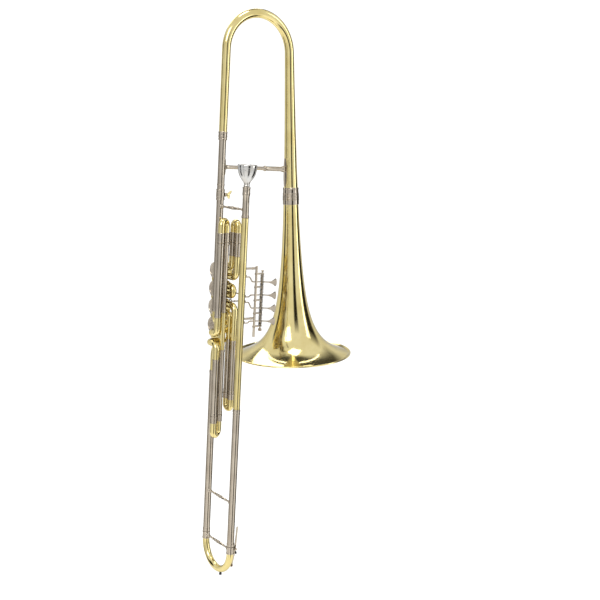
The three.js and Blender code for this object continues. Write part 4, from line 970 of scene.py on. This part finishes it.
class TROMBONE_OT_mouthpiece(bpy.types.Operator):
    """Builds the mouthpiece and its receiver"""

    bl_idname = "trombone.mouthpiece"
    bl_label = "Mouthpiece"

    def execute(self, context):
        lane = -SLIDE_SPACING
        profile = [(3.2, 0), (4.7, 0), (5.15, 36.9), [5.6, 37.6], [6.2, 38.6], [5.5, 39.8], [5.2, 41], [5.7, 43.5],
                   [7.2, 46.4], [9.6, 49.6], [12.5, 53.6], [14.9, 58], [16.4, 62.4], (17.2, 67), (17.55, 67.3),
                   (17.3, 67.6), (17.8, 70.7), (18.1, 71), (17.9, 71.3), [18.2, 73.6], [18.3, 76.4], [17.2, 77.9],
                   (15.6, 78), [13.6, 77.9], [12.7, 77], (12.5, 74), [12.2, 69], [10.8, 62], [7.2, 55.5], [3.6, 52.4],
                   (3.2, 50), (3.2, 0)]
        made = turned("mouthpiece_turned", profile, at(0, lane, 189.8), UP, 72)
        finished(made, SILVER, "mouthpiece_body", "mouthpiece")
        profile = [(5.3, 0), [6.9, 0], [7.4, 0.5], [7.4, 2.6], (6.8, 3.2), (6.8, 5.0), (6.3, 6.0), (6.35, 40.5),
                   (6.9, 41.5), [7.3, 44.0], [7.5, 46], (7.1, 47.0), (7.1, 54.0), [7.5, 54.8], [7.5, 56.9],
                   (7.0, 57.4), (5.6, 57.4), (5.3, 20), (5.3, 0)]
        finished(turned("receiver_turned", profile, at(0, lane, 169), UP), NICKEL, BASE, "mouthpiece_receiver")
        return {"FINISHED"}


# Valves and links


class TROMBONE_OT_valves(bpy.types.Operator):
    """Builds the valve casings, their caps with milled rims, and the rotors with their cranks"""

    bl_idname = "trombone.valves"
    bl_label = "Valves"

    def execute(self, context):
        for index in range(4):
            build_casing(index)
            build_cap(index)
            build_rotor(index)
        return {"FINISHED"}


def build_casing(index):
    """One casing with its two raised bands, and the two cork-tipped stop posts behind it."""
    number = index + 1
    node = f"valve_casing_{number}"
    back = CASING_BACK - CASING_FRONT
    profile = [(4.5, 0), (14.4, 0), (15, 0.6), (15, 4.3), [15.45, 4.7], [15.6, 5.5], [15.45, 6.3], (15, 6.7),
               (15, back - 5), (15.3, back - 4.8), [15.9, back - 4.0], [15.9, back - 2.4], (15.3, back - 1.4),
               [15.3, back - 0.6], [14.7, back], (9, back), [8.4, back + 0.4], [6.4, back + 0.5], (5.6, back),
               (3.7, back), (3.7, back - 2.4), (13.7, back - 2.4), (13.7, 4.5), (4.5, 4.5), (4.5, 0)]
    finished(turned(f"casing_{number}", profile, casing_axis(index, CASING_FRONT), RIGHT, 72), BRASS, BASE, node)
    post = [(0, 0), [2.3, 0], [2.4, 0.8], (1.5, 1.2), (1.3, 3.0), (1.8, 3.1), (1.8, 3.3), (0, 3.3)]
    stop = [(0, 0), [1.75, 0], [1.8, 0.3], [1.8, 3.2], [1.5, 3.4], (0, 3.5)]
    reach = 10.5
    angle = math.radians(70)
    for side, label in ((1, "near"), (-1, "far")):
        spot = casing_axis(index, CASING_BACK - 0.2) + at(
            0, side * reach * math.sin(angle), CRANK_SIDES[index] * reach * math.cos(angle))
        finished(turned(f"stop_post_{number}_{label}", post, spot, RIGHT, 24), NICKEL, BASE, node)
        spot += RIGHT * post[-1][1] * MM
        finished(turned(f"stop_cork_{number}_{label}", stop, spot, RIGHT, 24), CORK, BASE, node)


def build_cap(index):
    """One screwed cap: a raised boss, turned rings on its face and a milled rim."""
    number = index + 1
    profile = [(0, 0.1), [1.0, 0.0], [3.6, 0.05], [4.7, 0.5], (5.0, 1.1), (5.6, 1.15), (8.0, 1.0), (8.15, 0.75),
               (8.6, 0.75), (8.75, 1.0), (12.6, 1.05), (13.2, 0.95), [13.7, 0.3], [14.5, 0.05], [15.3, 0.1],
               (15.65, 0.8), (15.65, 6.2), [15.95, 6.5], [16.05, 7.2], (15.8, 7.6), (15.3, 7.6), (15.3, 3.4),
               (0, 3.4)]
    cap = turned("face", profile, casing_axis(index, CAP_FRONT), RIGHT, 80)
    place = Matrix.Translation(casing_axis(index, CAP_FRONT + 3.5)) @ Matrix.Rotation(math.pi / 2, 4, "Y")
    teeth = milled_teeth(2.6, 1.6, 0.48, 0.42, 64, 15.62, place)
    finished(join(f"cap_{number}", [cap, teeth]), NICKEL, BASE, f"valve_cap_{number}")


def crank_tip(index):
    """Where a crank's pin is from its valve's axis, at rest and in millimetres."""
    return CRANK_RADIUS * math.sin(CRANK_REST), CRANK_SIDES[index] * CRANK_RADIUS * math.cos(CRANK_REST)


def build_rotor(index):
    """One rotor: its core with two ports, its spindle, and the crank that its link turns."""
    number = index + 1
    core = [(0, 10.5), (4.2, 10.5), (4.2, 15), (13.2, 15), (13.4, 15.2), (13.4, 36.8), (13.2, 37), (3.4, 37),
            (3.4, 50.2), (0, 50.2)]
    drum = turned("drum", core, casing_axis(index, 0), RIGHT, 64)
    scoop = [(0, 0), (24, 0), (24, LOOP_BORE * 2), (0, LOOP_BORE * 2)]
    start = casing_axis(index, PORT_PLANE - LOOP_BORE)
    ways = (UP, DOWN) if index == 3 else (BACK, FORWARD)
    cut_with(drum, [turned("scoop", scoop, start + way * 26.2 * MM, RIGHT, 64) for way in ways])
    tip_y, tip_z = crank_tip(index)
    crank = casing_axis(index, CRANK_FRONT)
    pin = [(0, 0), (CRANK_PIN, 0), (CRANK_PIN, 10.4), (1.5, 10.5), [1.5, 10.7], [0.9, 10.8], (0, 10.8)]
    nut = [(0, 0), [3.9, 0], [4.1, 0.5], [3.9, 1.4], [2.6, 2.0], [1.2, 2.3], (0, 2.3)]
    parts = [drum, crank_arm(math.atan2(tip_z, tip_y), crank),
             turned("pin", pin, crank + at(0, tip_y, tip_z), RIGHT, 24),
             turned("nut", nut, crank + RIGHT * CRANK_THICK * MM, RIGHT, 32)]
    finished(join(f"rotor_drum_{number}", parts), NICKEL, f"rotor_body_{number}", f"rotor_{number}")


def crank_arm(swing, origin):
    """The flat arm of a crank: a round hub that narrows to the pin."""
    hub = 5.0
    tip = 2.2
    lean = math.asin((hub - tip) / CRANK_RADIUS)
    sweep = math.pi + 2 * lean
    limit = math.pi / 2 - lean
    ends = sorted({max(-limit, min(limit, sweep * (i / 14 - 0.5))) for i in range(15)})
    outline = arc(0, 0, hub, limit, sweep, 24)
    outline += [(CRANK_RADIUS + tip * math.cos(angle), tip * math.sin(angle)) for angle in ends]
    along = BACK * math.cos(swing) + UP * math.sin(swing)
    return plate("arm", outline, CRANK_THICK, origin, along, RIGHT.cross(along), 0.4)


class TROMBONE_OT_links(bpy.types.Operator):
    """Builds the links between levers and cranks, with their dark bushings"""

    bl_idname = "trombone.links"
    bl_label = "Links"

    def execute(self, context):
        drift = CRANK_RADIUS * (1 - math.cos(CRANK_REST))
        eye = CRANK_PIN + drift / 2 + 0.65
        for index in range(4):
            number = index + 1
            body = f"link_body_{number}"
            node = f"link_{number}"
            start = at(AXLE_X - LEVER_REACH * math.cos(LEVER_TILT), LEVER_DEPTH + LEVER_REACH * math.sin(LEVER_TILT),
                       LEVER_ENDS[index] + 1.6)
            tip_y, tip_z = crank_tip(index)
            centre = casing_axis(index, LINK_PLANE) + at(0, tip_y, tip_z + CRANK_SIDES[index] * drift / 2)
            first = start + (BACK * 2.2 + UP * EYE_THICK / 2) * MM
            way = centre + FORWARD * (eye + 0.9) * MM - first
            run = way.length / MM
            shaft = [(0, 0), (0.9, 0), [1.2, 1.2]]
            for foot in (run * 0.2, run * 0.8 - 4):
                shaft += [(1.2, foot), [1.7, foot + 0.4], [1.7, foot + 3.6], (1.2, foot + 4)]
            shaft += [[1.2, run - 1.2], (0.9, run), (0, run)]
            parts = [
                ring_round("far", eye + 0.5, eye + 1.4, EYE_THICK, centre - RIGHT * EYE_THICK / 2 * MM, RIGHT, 40),
                ring_round("near", 1.4, 2.8, EYE_THICK, start, UP),
                turned("shaft", shaft, first, way.normalized(), 24),
            ]
            finished(join(f"link_rod_{number}", parts), NICKEL, body, node)
            thick = EYE_THICK + 0.3
            bush = ring_round(f"link_bushing_{number}", eye, eye + 0.6, thick, centre - RIGHT * thick / 2 * MM, RIGHT,
                              40, 0.2)
            finished(bush, RUBBER, body, node)
        return {"FINISHED"}


# Levers


class TROMBONE_OT_lever_frame(bpy.types.Operator):
    """Builds the bar, posts and saddles that carry the levers, and the axle"""

    bl_idname = "trombone.lever_frame"
    bl_label = "Lever frame"

    def execute(self, context):
        node = "lever_frame"
        corners = [Vector(corner) for corner in ((-2.5, -73.5), (2.5, -73.5), (2.5, 68.9), (-2.5, 68.9))]
        bar = plate("bar", rounded_outline(corners, 1.2), 2.2, at(BAR_X, BAR_DEPTH + 1.1, 0), RIGHT, UP, 0.5)
        start = 32.7
        run = BAR_X - start
        post = [(1.0, 0), (5.6, 0), [5.2, 0.8], [3.4, 1.8], [2.5, 3.6], (2.2, 8), (2.2, 12), [2.9, 12.8], [2.9, 14.4],
                (2.1, 15.2), (2.1, run - 10), [2.9, run - 9.2], [2.9, run - 7.6], (2.2, run - 6.8), (2.5, run - 3),
                (0, run - 1), (0, 0)]
        parts = [turned("post", post, at(start - 0.8, BAR_DEPTH, height), RIGHT, 32) for height in (64.5, -35.4)]
        parts.insert(0, bar)
        eye = [(1.8, -1.3), (3.2, -1.3), (3.4, -1.1), (3.4, 1.1), (3.2, 1.3), (1.8, 1.3), (1.8, -1.3)]
        for k in range(5):
            height = SADDLE_TOP - SADDLE_PITCH * k
            parts.append(turned("eye", eye, at(AXLE_X, LEVER_DEPTH, height), UP, 36))
            line = bent_line([at(BAR_X, BAR_DEPTH + 0.6, height), at(BAR_X, LEVER_DEPTH, height),
                              at(AXLE_X - 2.9, LEVER_DEPTH, height)], 3.3, 8)
            widths = [(1.5 + 0.35 * abs(2 * i / (len(line) - 1) - 1) ** 3) * MM for i in range(len(line))]
            widths[0] = 2.1 * MM
            parts.append(tube("arm", line, widths, NICKEL, 16))
        finished(join("frame_with_posts", parts), NICKEL, BASE, node)
        step = {"Count": 5, "Step": (0.0, 0.0, -SADDLE_PITCH * MM)}
        row = with_tree(screw_head("frame_screws", 1.7, 0.6), "Copies in a row", step, NICKEL)
        row.data.transform(Matrix.Translation(at(BAR_X, BAR_DEPTH - 1.1, SADDLE_TOP)))
        finished(row, NICKEL, BASE, node)
        build_axle()
        return {"FINISHED"}


def build_axle():
    """The long axle of the levers with its milled knob below and its button above."""
    foot = -63.8
    run = 59.6 - foot
    knob = [(0, 0), [1.4, 0], [3.0, 0.3], (3.3, 1.2), (3.3, 5.0), [2.9, 5.7], [1.9, 6.0], (1.5, 6.4),
            (1.5, run - 3.2), [2.2, run - 3.0], [2.9, run - 2.4], [2.9, run - 1.1], [1.6, run - 0.1], (0, run)]
    axle = turned("axle", knob, at(AXLE_X, LEVER_DEPTH, foot), UP, 40)
    place = Matrix.Translation(at(AXLE_X, LEVER_DEPTH, foot + 3.1))
    teeth = milled_teeth(1.9, 1.2, 0.3, 0.28, 24, 3.3, place)
    finished(join("axle_with_knob", [axle, teeth]), NICKEL, BASE, "lever_axle")


class TROMBONE_OT_levers(bpy.types.Operator):
    """Builds the four levers with their dished finger plates, and their springs"""

    bl_idname = "trombone.levers"
    bl_label = "Levers and springs"

    def execute(self, context):
        for index in range(4):
            saddle = SADDLE_TOP - SADDLE_PITCH * index
            span = (saddle - 1.6, saddle - 16.4, saddle - SADDLE_PITCH + 1.6)
            build_lever(index, *span)
            build_spring(index, *span)
        return {"FINISHED"}


def build_lever(index, top, height, foot):
    """One lever at rest: barrel, inner arm with its pin, outer arm and finger plate."""
    number = index + 1
    run = top - foot
    arm = height - foot
    barrel = [(1.8, 0), [2.5, 0], [2.9, 0.4], [2.9, 1.4], (2.5, 1.8), (2.5, arm - 3.2), [2.8, arm - 2.4],
              (2.9, arm - 1.6), (2.9, arm + 1.6), [2.8, arm + 2.4], (2.5, arm + 3.2), (2.5, run - 1.8),
              [2.9, run - 1.4], [2.9, run - 0.4], [2.5, run], (1.8, run), (1.8, 0)]
    end = LEVER_ENDS[index]
    rise = abs(end - height)
    wrist = LEVER_REACH - 9
    line = bent_line([at(-2.3, 0, height), at(min(rise, 6) - wrist, 0, height), at(-wrist, 0, end),
                      at(-LEVER_REACH, 0, end)], 3.0 if rise > 2 else 1.2, 8)
    pin = [(0, 0), [1.7, 0], [1.9, 0.5], [1.9, 2.2], (1.7, 2.6), (1.1, 2.9), (1.1, 5.0), (1.6, 5.1), [1.6, 5.6],
           [1.0, 6.0], (0, 6.0)]
    neck = [(0, 0), (1.7, 0), [1.35, 2.2], (1.2, 6), (1.25, 11), [1.5, 14.4], [1.1, 15.6], (0, 16)]
    parts = [
        turned("barrel", barrel, at(0, 0, foot), UP, 36),
        tube("arm", line, 1.3 * MM, NICKEL, 20),
        turned("pin", pin, at(-LEVER_REACH, 0, end - 1.3), UP, 24),
        turned("neck", neck, at(2.2, 0, height), Vector((16, 0, -1.1)).normalized(), 20),
        finger_plate(height - 1.3),
    ]
    made = join(f"lever_piece_{number}", parts)
    made.data.transform(Matrix.Translation(at(AXLE_X, LEVER_DEPTH, 0)) @ Matrix.Rotation(-LEVER_TILT, 4, "Z"))
    finished(made, NICKEL, f"lever_body_{number}", f"lever_{number}")


def finger_plate(height):
    """A shield-shaped finger plate, dished for the fingertip and rounded at its rim."""

    def place(layer, u, v):
        half = 1.7 + 6.5 * (u * 1.25) ** 1.5 if u <= 0.8 else 8.2 * (1 - ((u - 0.8) / 0.2) ** 2.6 * 0.28)
        thick = 0.85 * (1 - 0.55 * max(abs(v), abs(2 * u - 1)) ** 8)
        dish = max(-0.5, min(0.5, 0.55 * (v * v + (2 * u - 1) ** 2 - 1)))
        x = 16.5 + 15.5 * u - 3.6 * v * v * max(0, u - 0.75)
        return at(x, layer * thick - 0.6 * dish, height + half * v)

    return grid_plate("plate", (-1, 1), 22, 16, place)


def build_spring(index, top, height, foot):
    """One double torsion spring round a lever's barrel, with a straight bridge past the arm."""
    per_turn = 28
    line = [at(AXLE_X, LEVER_DEPTH - SPRING_RADIUS, top)]
    for high, low, curls in ((top - 0.9, height + 2.2, 4), (height - 2.2, foot + 0.9, 2)):
        count = curls * per_turn
        ring = arc(AXLE_X, LEVER_DEPTH, SPRING_RADIUS, -math.pi / 2, 2 * math.pi * curls, count)
        line += [at(x, y, high + (low - high) * s / count) for s, (x, y) in enumerate(ring)]
    line.append(at(AXLE_X, LEVER_DEPTH - SPRING_RADIUS, foot))
    made = tube(f"spring_coil_{index + 1}", line, 0.45 * MM, STEEL, 10)
    finished(made, STEEL, BASE, f"lever_spring_{index + 1}")


# Clamp and water key


class TROMBONE_OT_clamp(bpy.types.Operator):
    """Builds the clamp on the left leg and its wing screw"""

    bl_idname = "trombone.clamp"
    bl_label = "Clamp and wing screw"

    def execute(self, context):
        height = 206
        start = 9.0
        band = [(7.2, 0), [8.1, 0], [8.4, 0.5], [8.4, 2.2], (8.0, 2.7), (8.0, 6.2), (8.3, 6.6), (8.3, 14.4),
                (8.0, 14.8), (8.0, 18.3), [8.4, 18.8], [8.4, 20.5], [8.1, 21], (7.2, 21), (7.2, 0)]
        boss = [(2.5, 0), (4.2, 0), [3.9, 0.8], (3.7, 1.4), (3.7, 3.2), [4.0, 3.8], [3.6, 4.6], (2.5, 4.6), (2.5, 0)]
        parts = [turned("band", band, at(0, 0, height - 10.5), UP, 56),
                 turned("boss", boss, at(7.9, 0, height), RIGHT, 36)]
        finished(join("clamp", parts), NICKEL, BASE, "clamp_collar")
        shank = [(0, 0), (2.2, 0), (2.2, 4), [3.5, 4.6], [3.5, 5.6], [2.4, 6.4], (2.1, 9.4), (0, 9.6)]
        knots = [Vector(knot) for knot in (
            (-3.5, 0), (-2.8, 1.8), (-1.75, 3.4), (0.7, 8.5), (4.9, 9.35), (5.6, 3.4), (3.0, 0))]
        half = [curve_point(*knots[k:k + 3], s / 8) for k in (0, 2, 4) for s in range(8)] + knots[-1:]
        outline = half + [(u, -v) for u, v in half[-2:0:-1]]
        along = FORWARD * math.sin(WING_TILT) + UP * math.cos(WING_TILT)
        origin = at(start + 9, 0, height) - RIGHT.cross(along) * 0.9 * MM
        parts = [turned("shank", shank, at(start, 0, height), RIGHT, 28),
                 plate("wings", outline, 1.8, origin, RIGHT, along, 0.55)]
        finished(join("wing_screw_piece", parts), BRASS, "wing_screw_body", "wing_screw")
        return {"FINISHED"}


class TROMBONE_OT_water_key(bpy.types.Operator):
    """Builds the water key, its cork and the mount on the slide"""

    bl_idname = "trombone.water_key"
    bl_label = "Water key"

    def execute(self, context):
        body = "water_key_body"
        node = "water_key"
        nipple = [(2.2, 0), (2.8, 0), (2.8, 2.0), [3.0, 2.3], [3.0, 2.6], (2.6, 3.0), (2.2, 3.0), (2.2, 0)]
        pin = [(0, 0), [2.1, 0], [2.6, 0.5], [2.6, 2.0], (2.2, 2.4), (0.9, 2.5), (0.9, 11.2), (0.5, 11.3), (0, 11.3)]
        ear = arc(0, 0, 2.0, -math.pi / 2, math.pi, 16) + [(-3.6, 2.0), (-3.6, -2.0)]
        parts = [turned("nipple", nipple, at(6.2, KEY_PAD_Y, KEY_PAD), RIGHT, 32)]
        parts += [plate("ear", ear, 1.6, at(KEY_PIVOT_X, KEY_LANE + side, KEY_PIVOT), RIGHT, UP, 0.25)
                  for side in (4.4, -2.8)]
        parts.append(turned("pin", pin, at(KEY_PIVOT_X, KEY_LANE - 6.8, KEY_PIVOT), BACK, 28))
        finished(join("key_mount", parts), NICKEL, "tuning_slide", "main_tuning_slide")
        cup = [(0, 0), (3.4, 0), (4.2, 0.2), [4.2, 0.9], [3.6, 1.5], [2.2, 2.0], (0, 2.1)]
        parts = [ring_round("barrel", 1.2, 2.0, 5, at(KEY_PIVOT_X, KEY_LANE - 2.5, KEY_PIVOT), BACK, 32, 0.3),
                 key_strip(), turned("cup", cup, at(11.3, KEY_PAD_Y, KEY_PAD), RIGHT, 36)]
        finished(join("key_lever", parts), NICKEL, body, node)
        cork = [(0, 0), [3.3, 0], [3.6, 0.3], (3.6, 1.5), (3.4, 1.7), (0, 1.7)]
        finished(turned("key_cork", cork, at(9.5, KEY_PAD_Y, KEY_PAD), RIGHT, 32), CORK, body, "water_key_cork")
        button = [(0, 0), (2.4, 0), [2.9, 0.6], [2.9, 1.5], [2.0, 2.2], (0, 2.3)]
        finished(turned("key_button", button, at(12.4, KEY_LANE, -490), RIGHT, 32), RUBBER, body, node)
        return {"FINISHED"}


def key_strip():
    """The water key's lever: a shaped strip from its thumb tip, over the hinge, down to the cup."""

    def place(layer, share, v):
        z = KEY_TOP + (KEY_PAD - KEY_TOP) * share
        up = (z - KEY_PIVOT) / (KEY_TOP - KEY_PIVOT)
        down = (z - KEY_PIVOT) / (KEY_PAD - KEY_PIVOT)
        if up > 0:
            x = 10.45 + 3.1 * up
            y = 0.0
            wide = 2.5 - 0.8 * max(0.0, up - 0.1) + 1.8 * max(0.0, up - 0.7)
        else:
            x = 10.45 + 0.9 * min(1.0, down * 3.0)
            y = (KEY_PAD_Y - KEY_LANE) * down
            wide = 2.5 - 0.6 * down
        if share < 0.04:
            wide *= math.sqrt(max(0.05, 1 - (1 - share / 0.04) ** 2))
        crown = 0.25 * (1 - v * v) if layer else 0.0
        return at(x + layer + crown, KEY_LANE + y + wide * v, z)

    return grid_plate("strip", (0.0, 1.4), 40, 8, place)


# Stage


class TROMBONE_OT_stage(bpy.types.Operator):
    """Sets the pale floor, the soft lights, the dark cards and the camera"""

    bl_idname = "trombone.stage"
    bl_label = "Stage"

    def execute(self, context):
        floor = build_floor()
        lamps = [
            area_light("key_light", (-2.6, -1.6, 2.4), (0, 0, 0), 1.4, 1.8, 40, (1.0, 0.98, 0.95)),
            area_light("fill_light", (2.4, -2.0, 0.8), (0.05, 0, 0), 0.8, 2.6, 18, (0.96, 0.98, 1.0)),
            area_light("rim_light", (0.6, 2.2, 2.2), (0.05, 0, 0.1), 2.4, 1.0, 30, (1.0, 1.0, 1.0)),
            area_light("top_light", (0, -0.2, 3.0), (0, 0, 0), 0.9, 0.9, 16, (1.0, 1.0, 1.0)),
            area_light("backdrop_light", (0.83, 1.37, 2.7), (2.4, 3.9, 0.2), 3.0, 0.5, 25, (1.0, 1.0, 1.0)),
        ]
        camera = build_camera()
        toward = math.atan2(camera.location.y, camera.location.x)
        for k, (turn, spread, depth, near, reach) in enumerate((
            (22, 15, 1.0, 0.7, 3.2),
            (-50, 14, 0.3, 0.8, 2.4),
            (104, 24, 1.0, 1.5, 2.6),
            (-94, 15, 1.0, 1.5, 2.6),
        )):
            rows = ((near, CARD_FOOT, 0), (near * 0.7 + reach * 0.3, CARD_FOOT, 1), (reach, CARD_FOOT, 1),
                    (reach, 1.0, 1), (reach, 2.4, 0))
            dark_card(f"dark_card_{k + 1}", toward + math.radians(turn), spread, depth, rows)
        rows = ((0.3, 3.4, 0), (1.0, 3.4, 1), (3.4, 2.3, 1), (3.8, 1.6, 0))
        dark_card("dark_canopy", toward + math.pi, 50, 0.95, rows)
        world = bpy.data.worlds.new("studio")
        context.scene.world = world
        world.use_nodes = True
        tree = world.node_tree
        tree.nodes.clear()
        back = add_node(tree, "ShaderNodeBackground", {"Color": (0.94, 0.95, 0.97, 1.0), "Strength": 0.95})
        add_node(tree, "ShaderNodeOutputWorld", links={"Surface": back.outputs["Background"]})
        context.scene.view_settings.view_transform = "Standard"
        return {"FINISHED"}


def build_floor():
    """A pale sweep: a floor that turns up into a backdrop without an edge."""
    bend = 1.5
    line = [(-4 + 7 * i / 8, FLOOR) for i in range(9)]
    line += arc(3, FLOOR + bend, bend, -math.pi / 2, math.pi / 2, 16)[1:]
    line.append((3 + bend, FLOOR + 5))
    turn = Matrix.Rotation(-math.atan2(0.58303, 0.79803), 3, "Z")
    points = [turn @ Vector((across, along, high)) for across in (-5, 5) for along, high in line]
    count = len(line)
    made = mesh_from("floor", points, [(i, count + i, count + i + 1, i + 1) for i in range(count - 1)])
    made.data.shade_smooth()
    # Matt white paper sweep with the faintest cloud in its tone.
    material, tree, place = new_material("studio_floor")
    tone = blended(tree, noise(tree, place, 3.0, 3.0), colours().floor, linear("fbfbfa"))
    principled(tree, {"Roughness": 0.9}, {"Base Color": tone})
    made.data.materials.append(material)
    return made


def area_light(name, place, target, width, height, power, tone):
    """A soft box that points at a target."""
    lamp = bpy.data.lights.new(name, "AREA")
    lamp.shape = "RECTANGLE"
    lamp.size = width
    lamp.size_y = height
    lamp.energy = power
    lamp.color = tone
    made = new_object(name, lamp)
    made.location = place
    made.rotation_euler = (Vector(target) - Vector(place)).to_track_quat("-Z", "Y").to_euler()
    return made


def dark_card(name, turn, spread, depth, rows):
    """A dark card that only shows as a tone mirrored in the polished metal.

    It reaches spread degrees to either side of its compass bearing, and fades out at its sides. Each row is its
    distance from the middle of the floor, its height and how much of the card's depth it keeps."""
    columns = 24
    points = []
    shades = []
    for i in range(columns + 1):
        side = 2 * i / columns - 1
        angle = turn + math.radians(spread) * side
        for out, high, keep in rows:
            points.append((out * math.cos(angle), out * math.sin(angle), high))
            shades.append(depth * keep * min(1, 2.2 * (1 - abs(side))))
    count = len(rows)
    faces = [(i * count + j, (i + 1) * count + j, (i + 1) * count + j + 1, i * count + j + 1)
             for i in range(columns) for j in range(count - 1)]
    mesh = bpy.data.meshes.new(name)
    mesh.from_pydata(points, [], faces)
    mesh.attributes.new("shade", "FLOAT", "POINT").data.foreach_set("value", shades)
    mesh.materials.append(bpy.data.materials.get("dark_card") or card_material())
    made = new_object(name, mesh)
    made.visible_camera = False
    made.visible_diffuse = False
    made.visible_shadow = False
    return made


def card_material():
    """The material of the dark cards, as dense at each point as the mesh's shade attribute says."""
    # Dark brown felt on gauze: solid in the middle and thinner towards the sides.
    material, tree, place = new_material("dark_card")
    tone = blended(tree, noise(tree, place, 1.5, 2.0), linear("1e1a16"), linear("100d0b"))
    felt = add_node(tree, "ShaderNodeBsdfPrincipled", {"Roughness": 0.95, "Specular IOR Level": 0.2},
                    {"Base Color": tone})
    clear = add_node(tree, "ShaderNodeBsdfTransparent")
    share = add_node(tree, "ShaderNodeAttribute", {"attribute_name": "shade"})
    both = add_node(tree, "ShaderNodeMixShader",
                    links={0: share.outputs["Fac"], 1: clear.outputs["BSDF"], 2: felt.outputs["BSDF"]})
    add_node(tree, "ShaderNodeOutputMaterial", links={"Surface": both.outputs["Shader"]})
    return material


def build_camera():
    """The camera, at the angle from which the instrument is shown."""
    lens = bpy.data.cameras.new("camera")
    lens.lens = 60
    lens.sensor_width = 36
    lens.clip_end = 100
    made = new_object("camera", lens)
    place = Vector((-1.0089, -1.6595, 0.3074))
    across = Vector((0.81116, -0.58235, 0.05379))
    high = Vector((0.04581, 0.15495, 0.98686))
    turn = Matrix((across, high, across.cross(high))).transposed()
    made.matrix_world = Matrix.Translation(place) @ turn.to_4x4()
    bpy.context.scene.camera = made
    return made


# Add-on


class TROMBONE_PT_panel(bpy.types.Panel):
    """Lists the building steps in the 3D view's sidebar"""

    bl_idname = "TROMBONE_PT_panel"
    bl_label = "Valve Trombone"
    bl_space_type = "VIEW_3D"
    bl_region_type = "UI"
    bl_category = "Trombone"

    def draw(self, context):
        for operator in OPERATORS:
            self.layout.operator(operator.bl_idname)
        for group in (sizes(), colours()):
            column = self.layout.column(align=True)
            for name in group.bl_rna.properties.keys():
                if name not in ("rna_type", "name"):
                    column.prop(group, name)


OPERATORS = (
    TROMBONE_OT_legs,
    TROMBONE_OT_valve_tubes,
    TROMBONE_OT_valve_slides,
    TROMBONE_OT_main_slide,
    TROMBONE_OT_stays,
    TROMBONE_OT_bell,
    TROMBONE_OT_mouthpiece,
    TROMBONE_OT_valves,
    TROMBONE_OT_links,
    TROMBONE_OT_lever_frame,
    TROMBONE_OT_levers,
    TROMBONE_OT_clamp,
    TROMBONE_OT_water_key,
    TROMBONE_OT_stage,
)
CLASSES = (TromboneSizes, TromboneColours, *OPERATORS, TROMBONE_PT_panel)


def register():
    """Registers the classes and hangs the sizes and colours on the scene."""
    for item in CLASSES:
        bpy.utils.register_class(item)
    bpy.types.Scene.trombone_sizes = PointerProperty(type=TromboneSizes)
    bpy.types.Scene.trombone_colours = PointerProperty(type=TromboneColours)


def unregister():
    """Takes back what register did."""
    del bpy.types.Scene.trombone_colours
    del bpy.types.Scene.trombone_sizes
    for item in reversed(CLASSES):
        bpy.utils.unregister_class(item)


def main():
    """Builds every piece."""
    register()
    for operator in OPERATORS:
        family, name = operator.bl_idname.split(".")
        result = getattr(getattr(bpy.ops, family), name)()
        if result != {"FINISHED"}:
            raise RuntimeError(f"{operator.bl_label} did not finish")


if __name__ == "__main__":
    main()
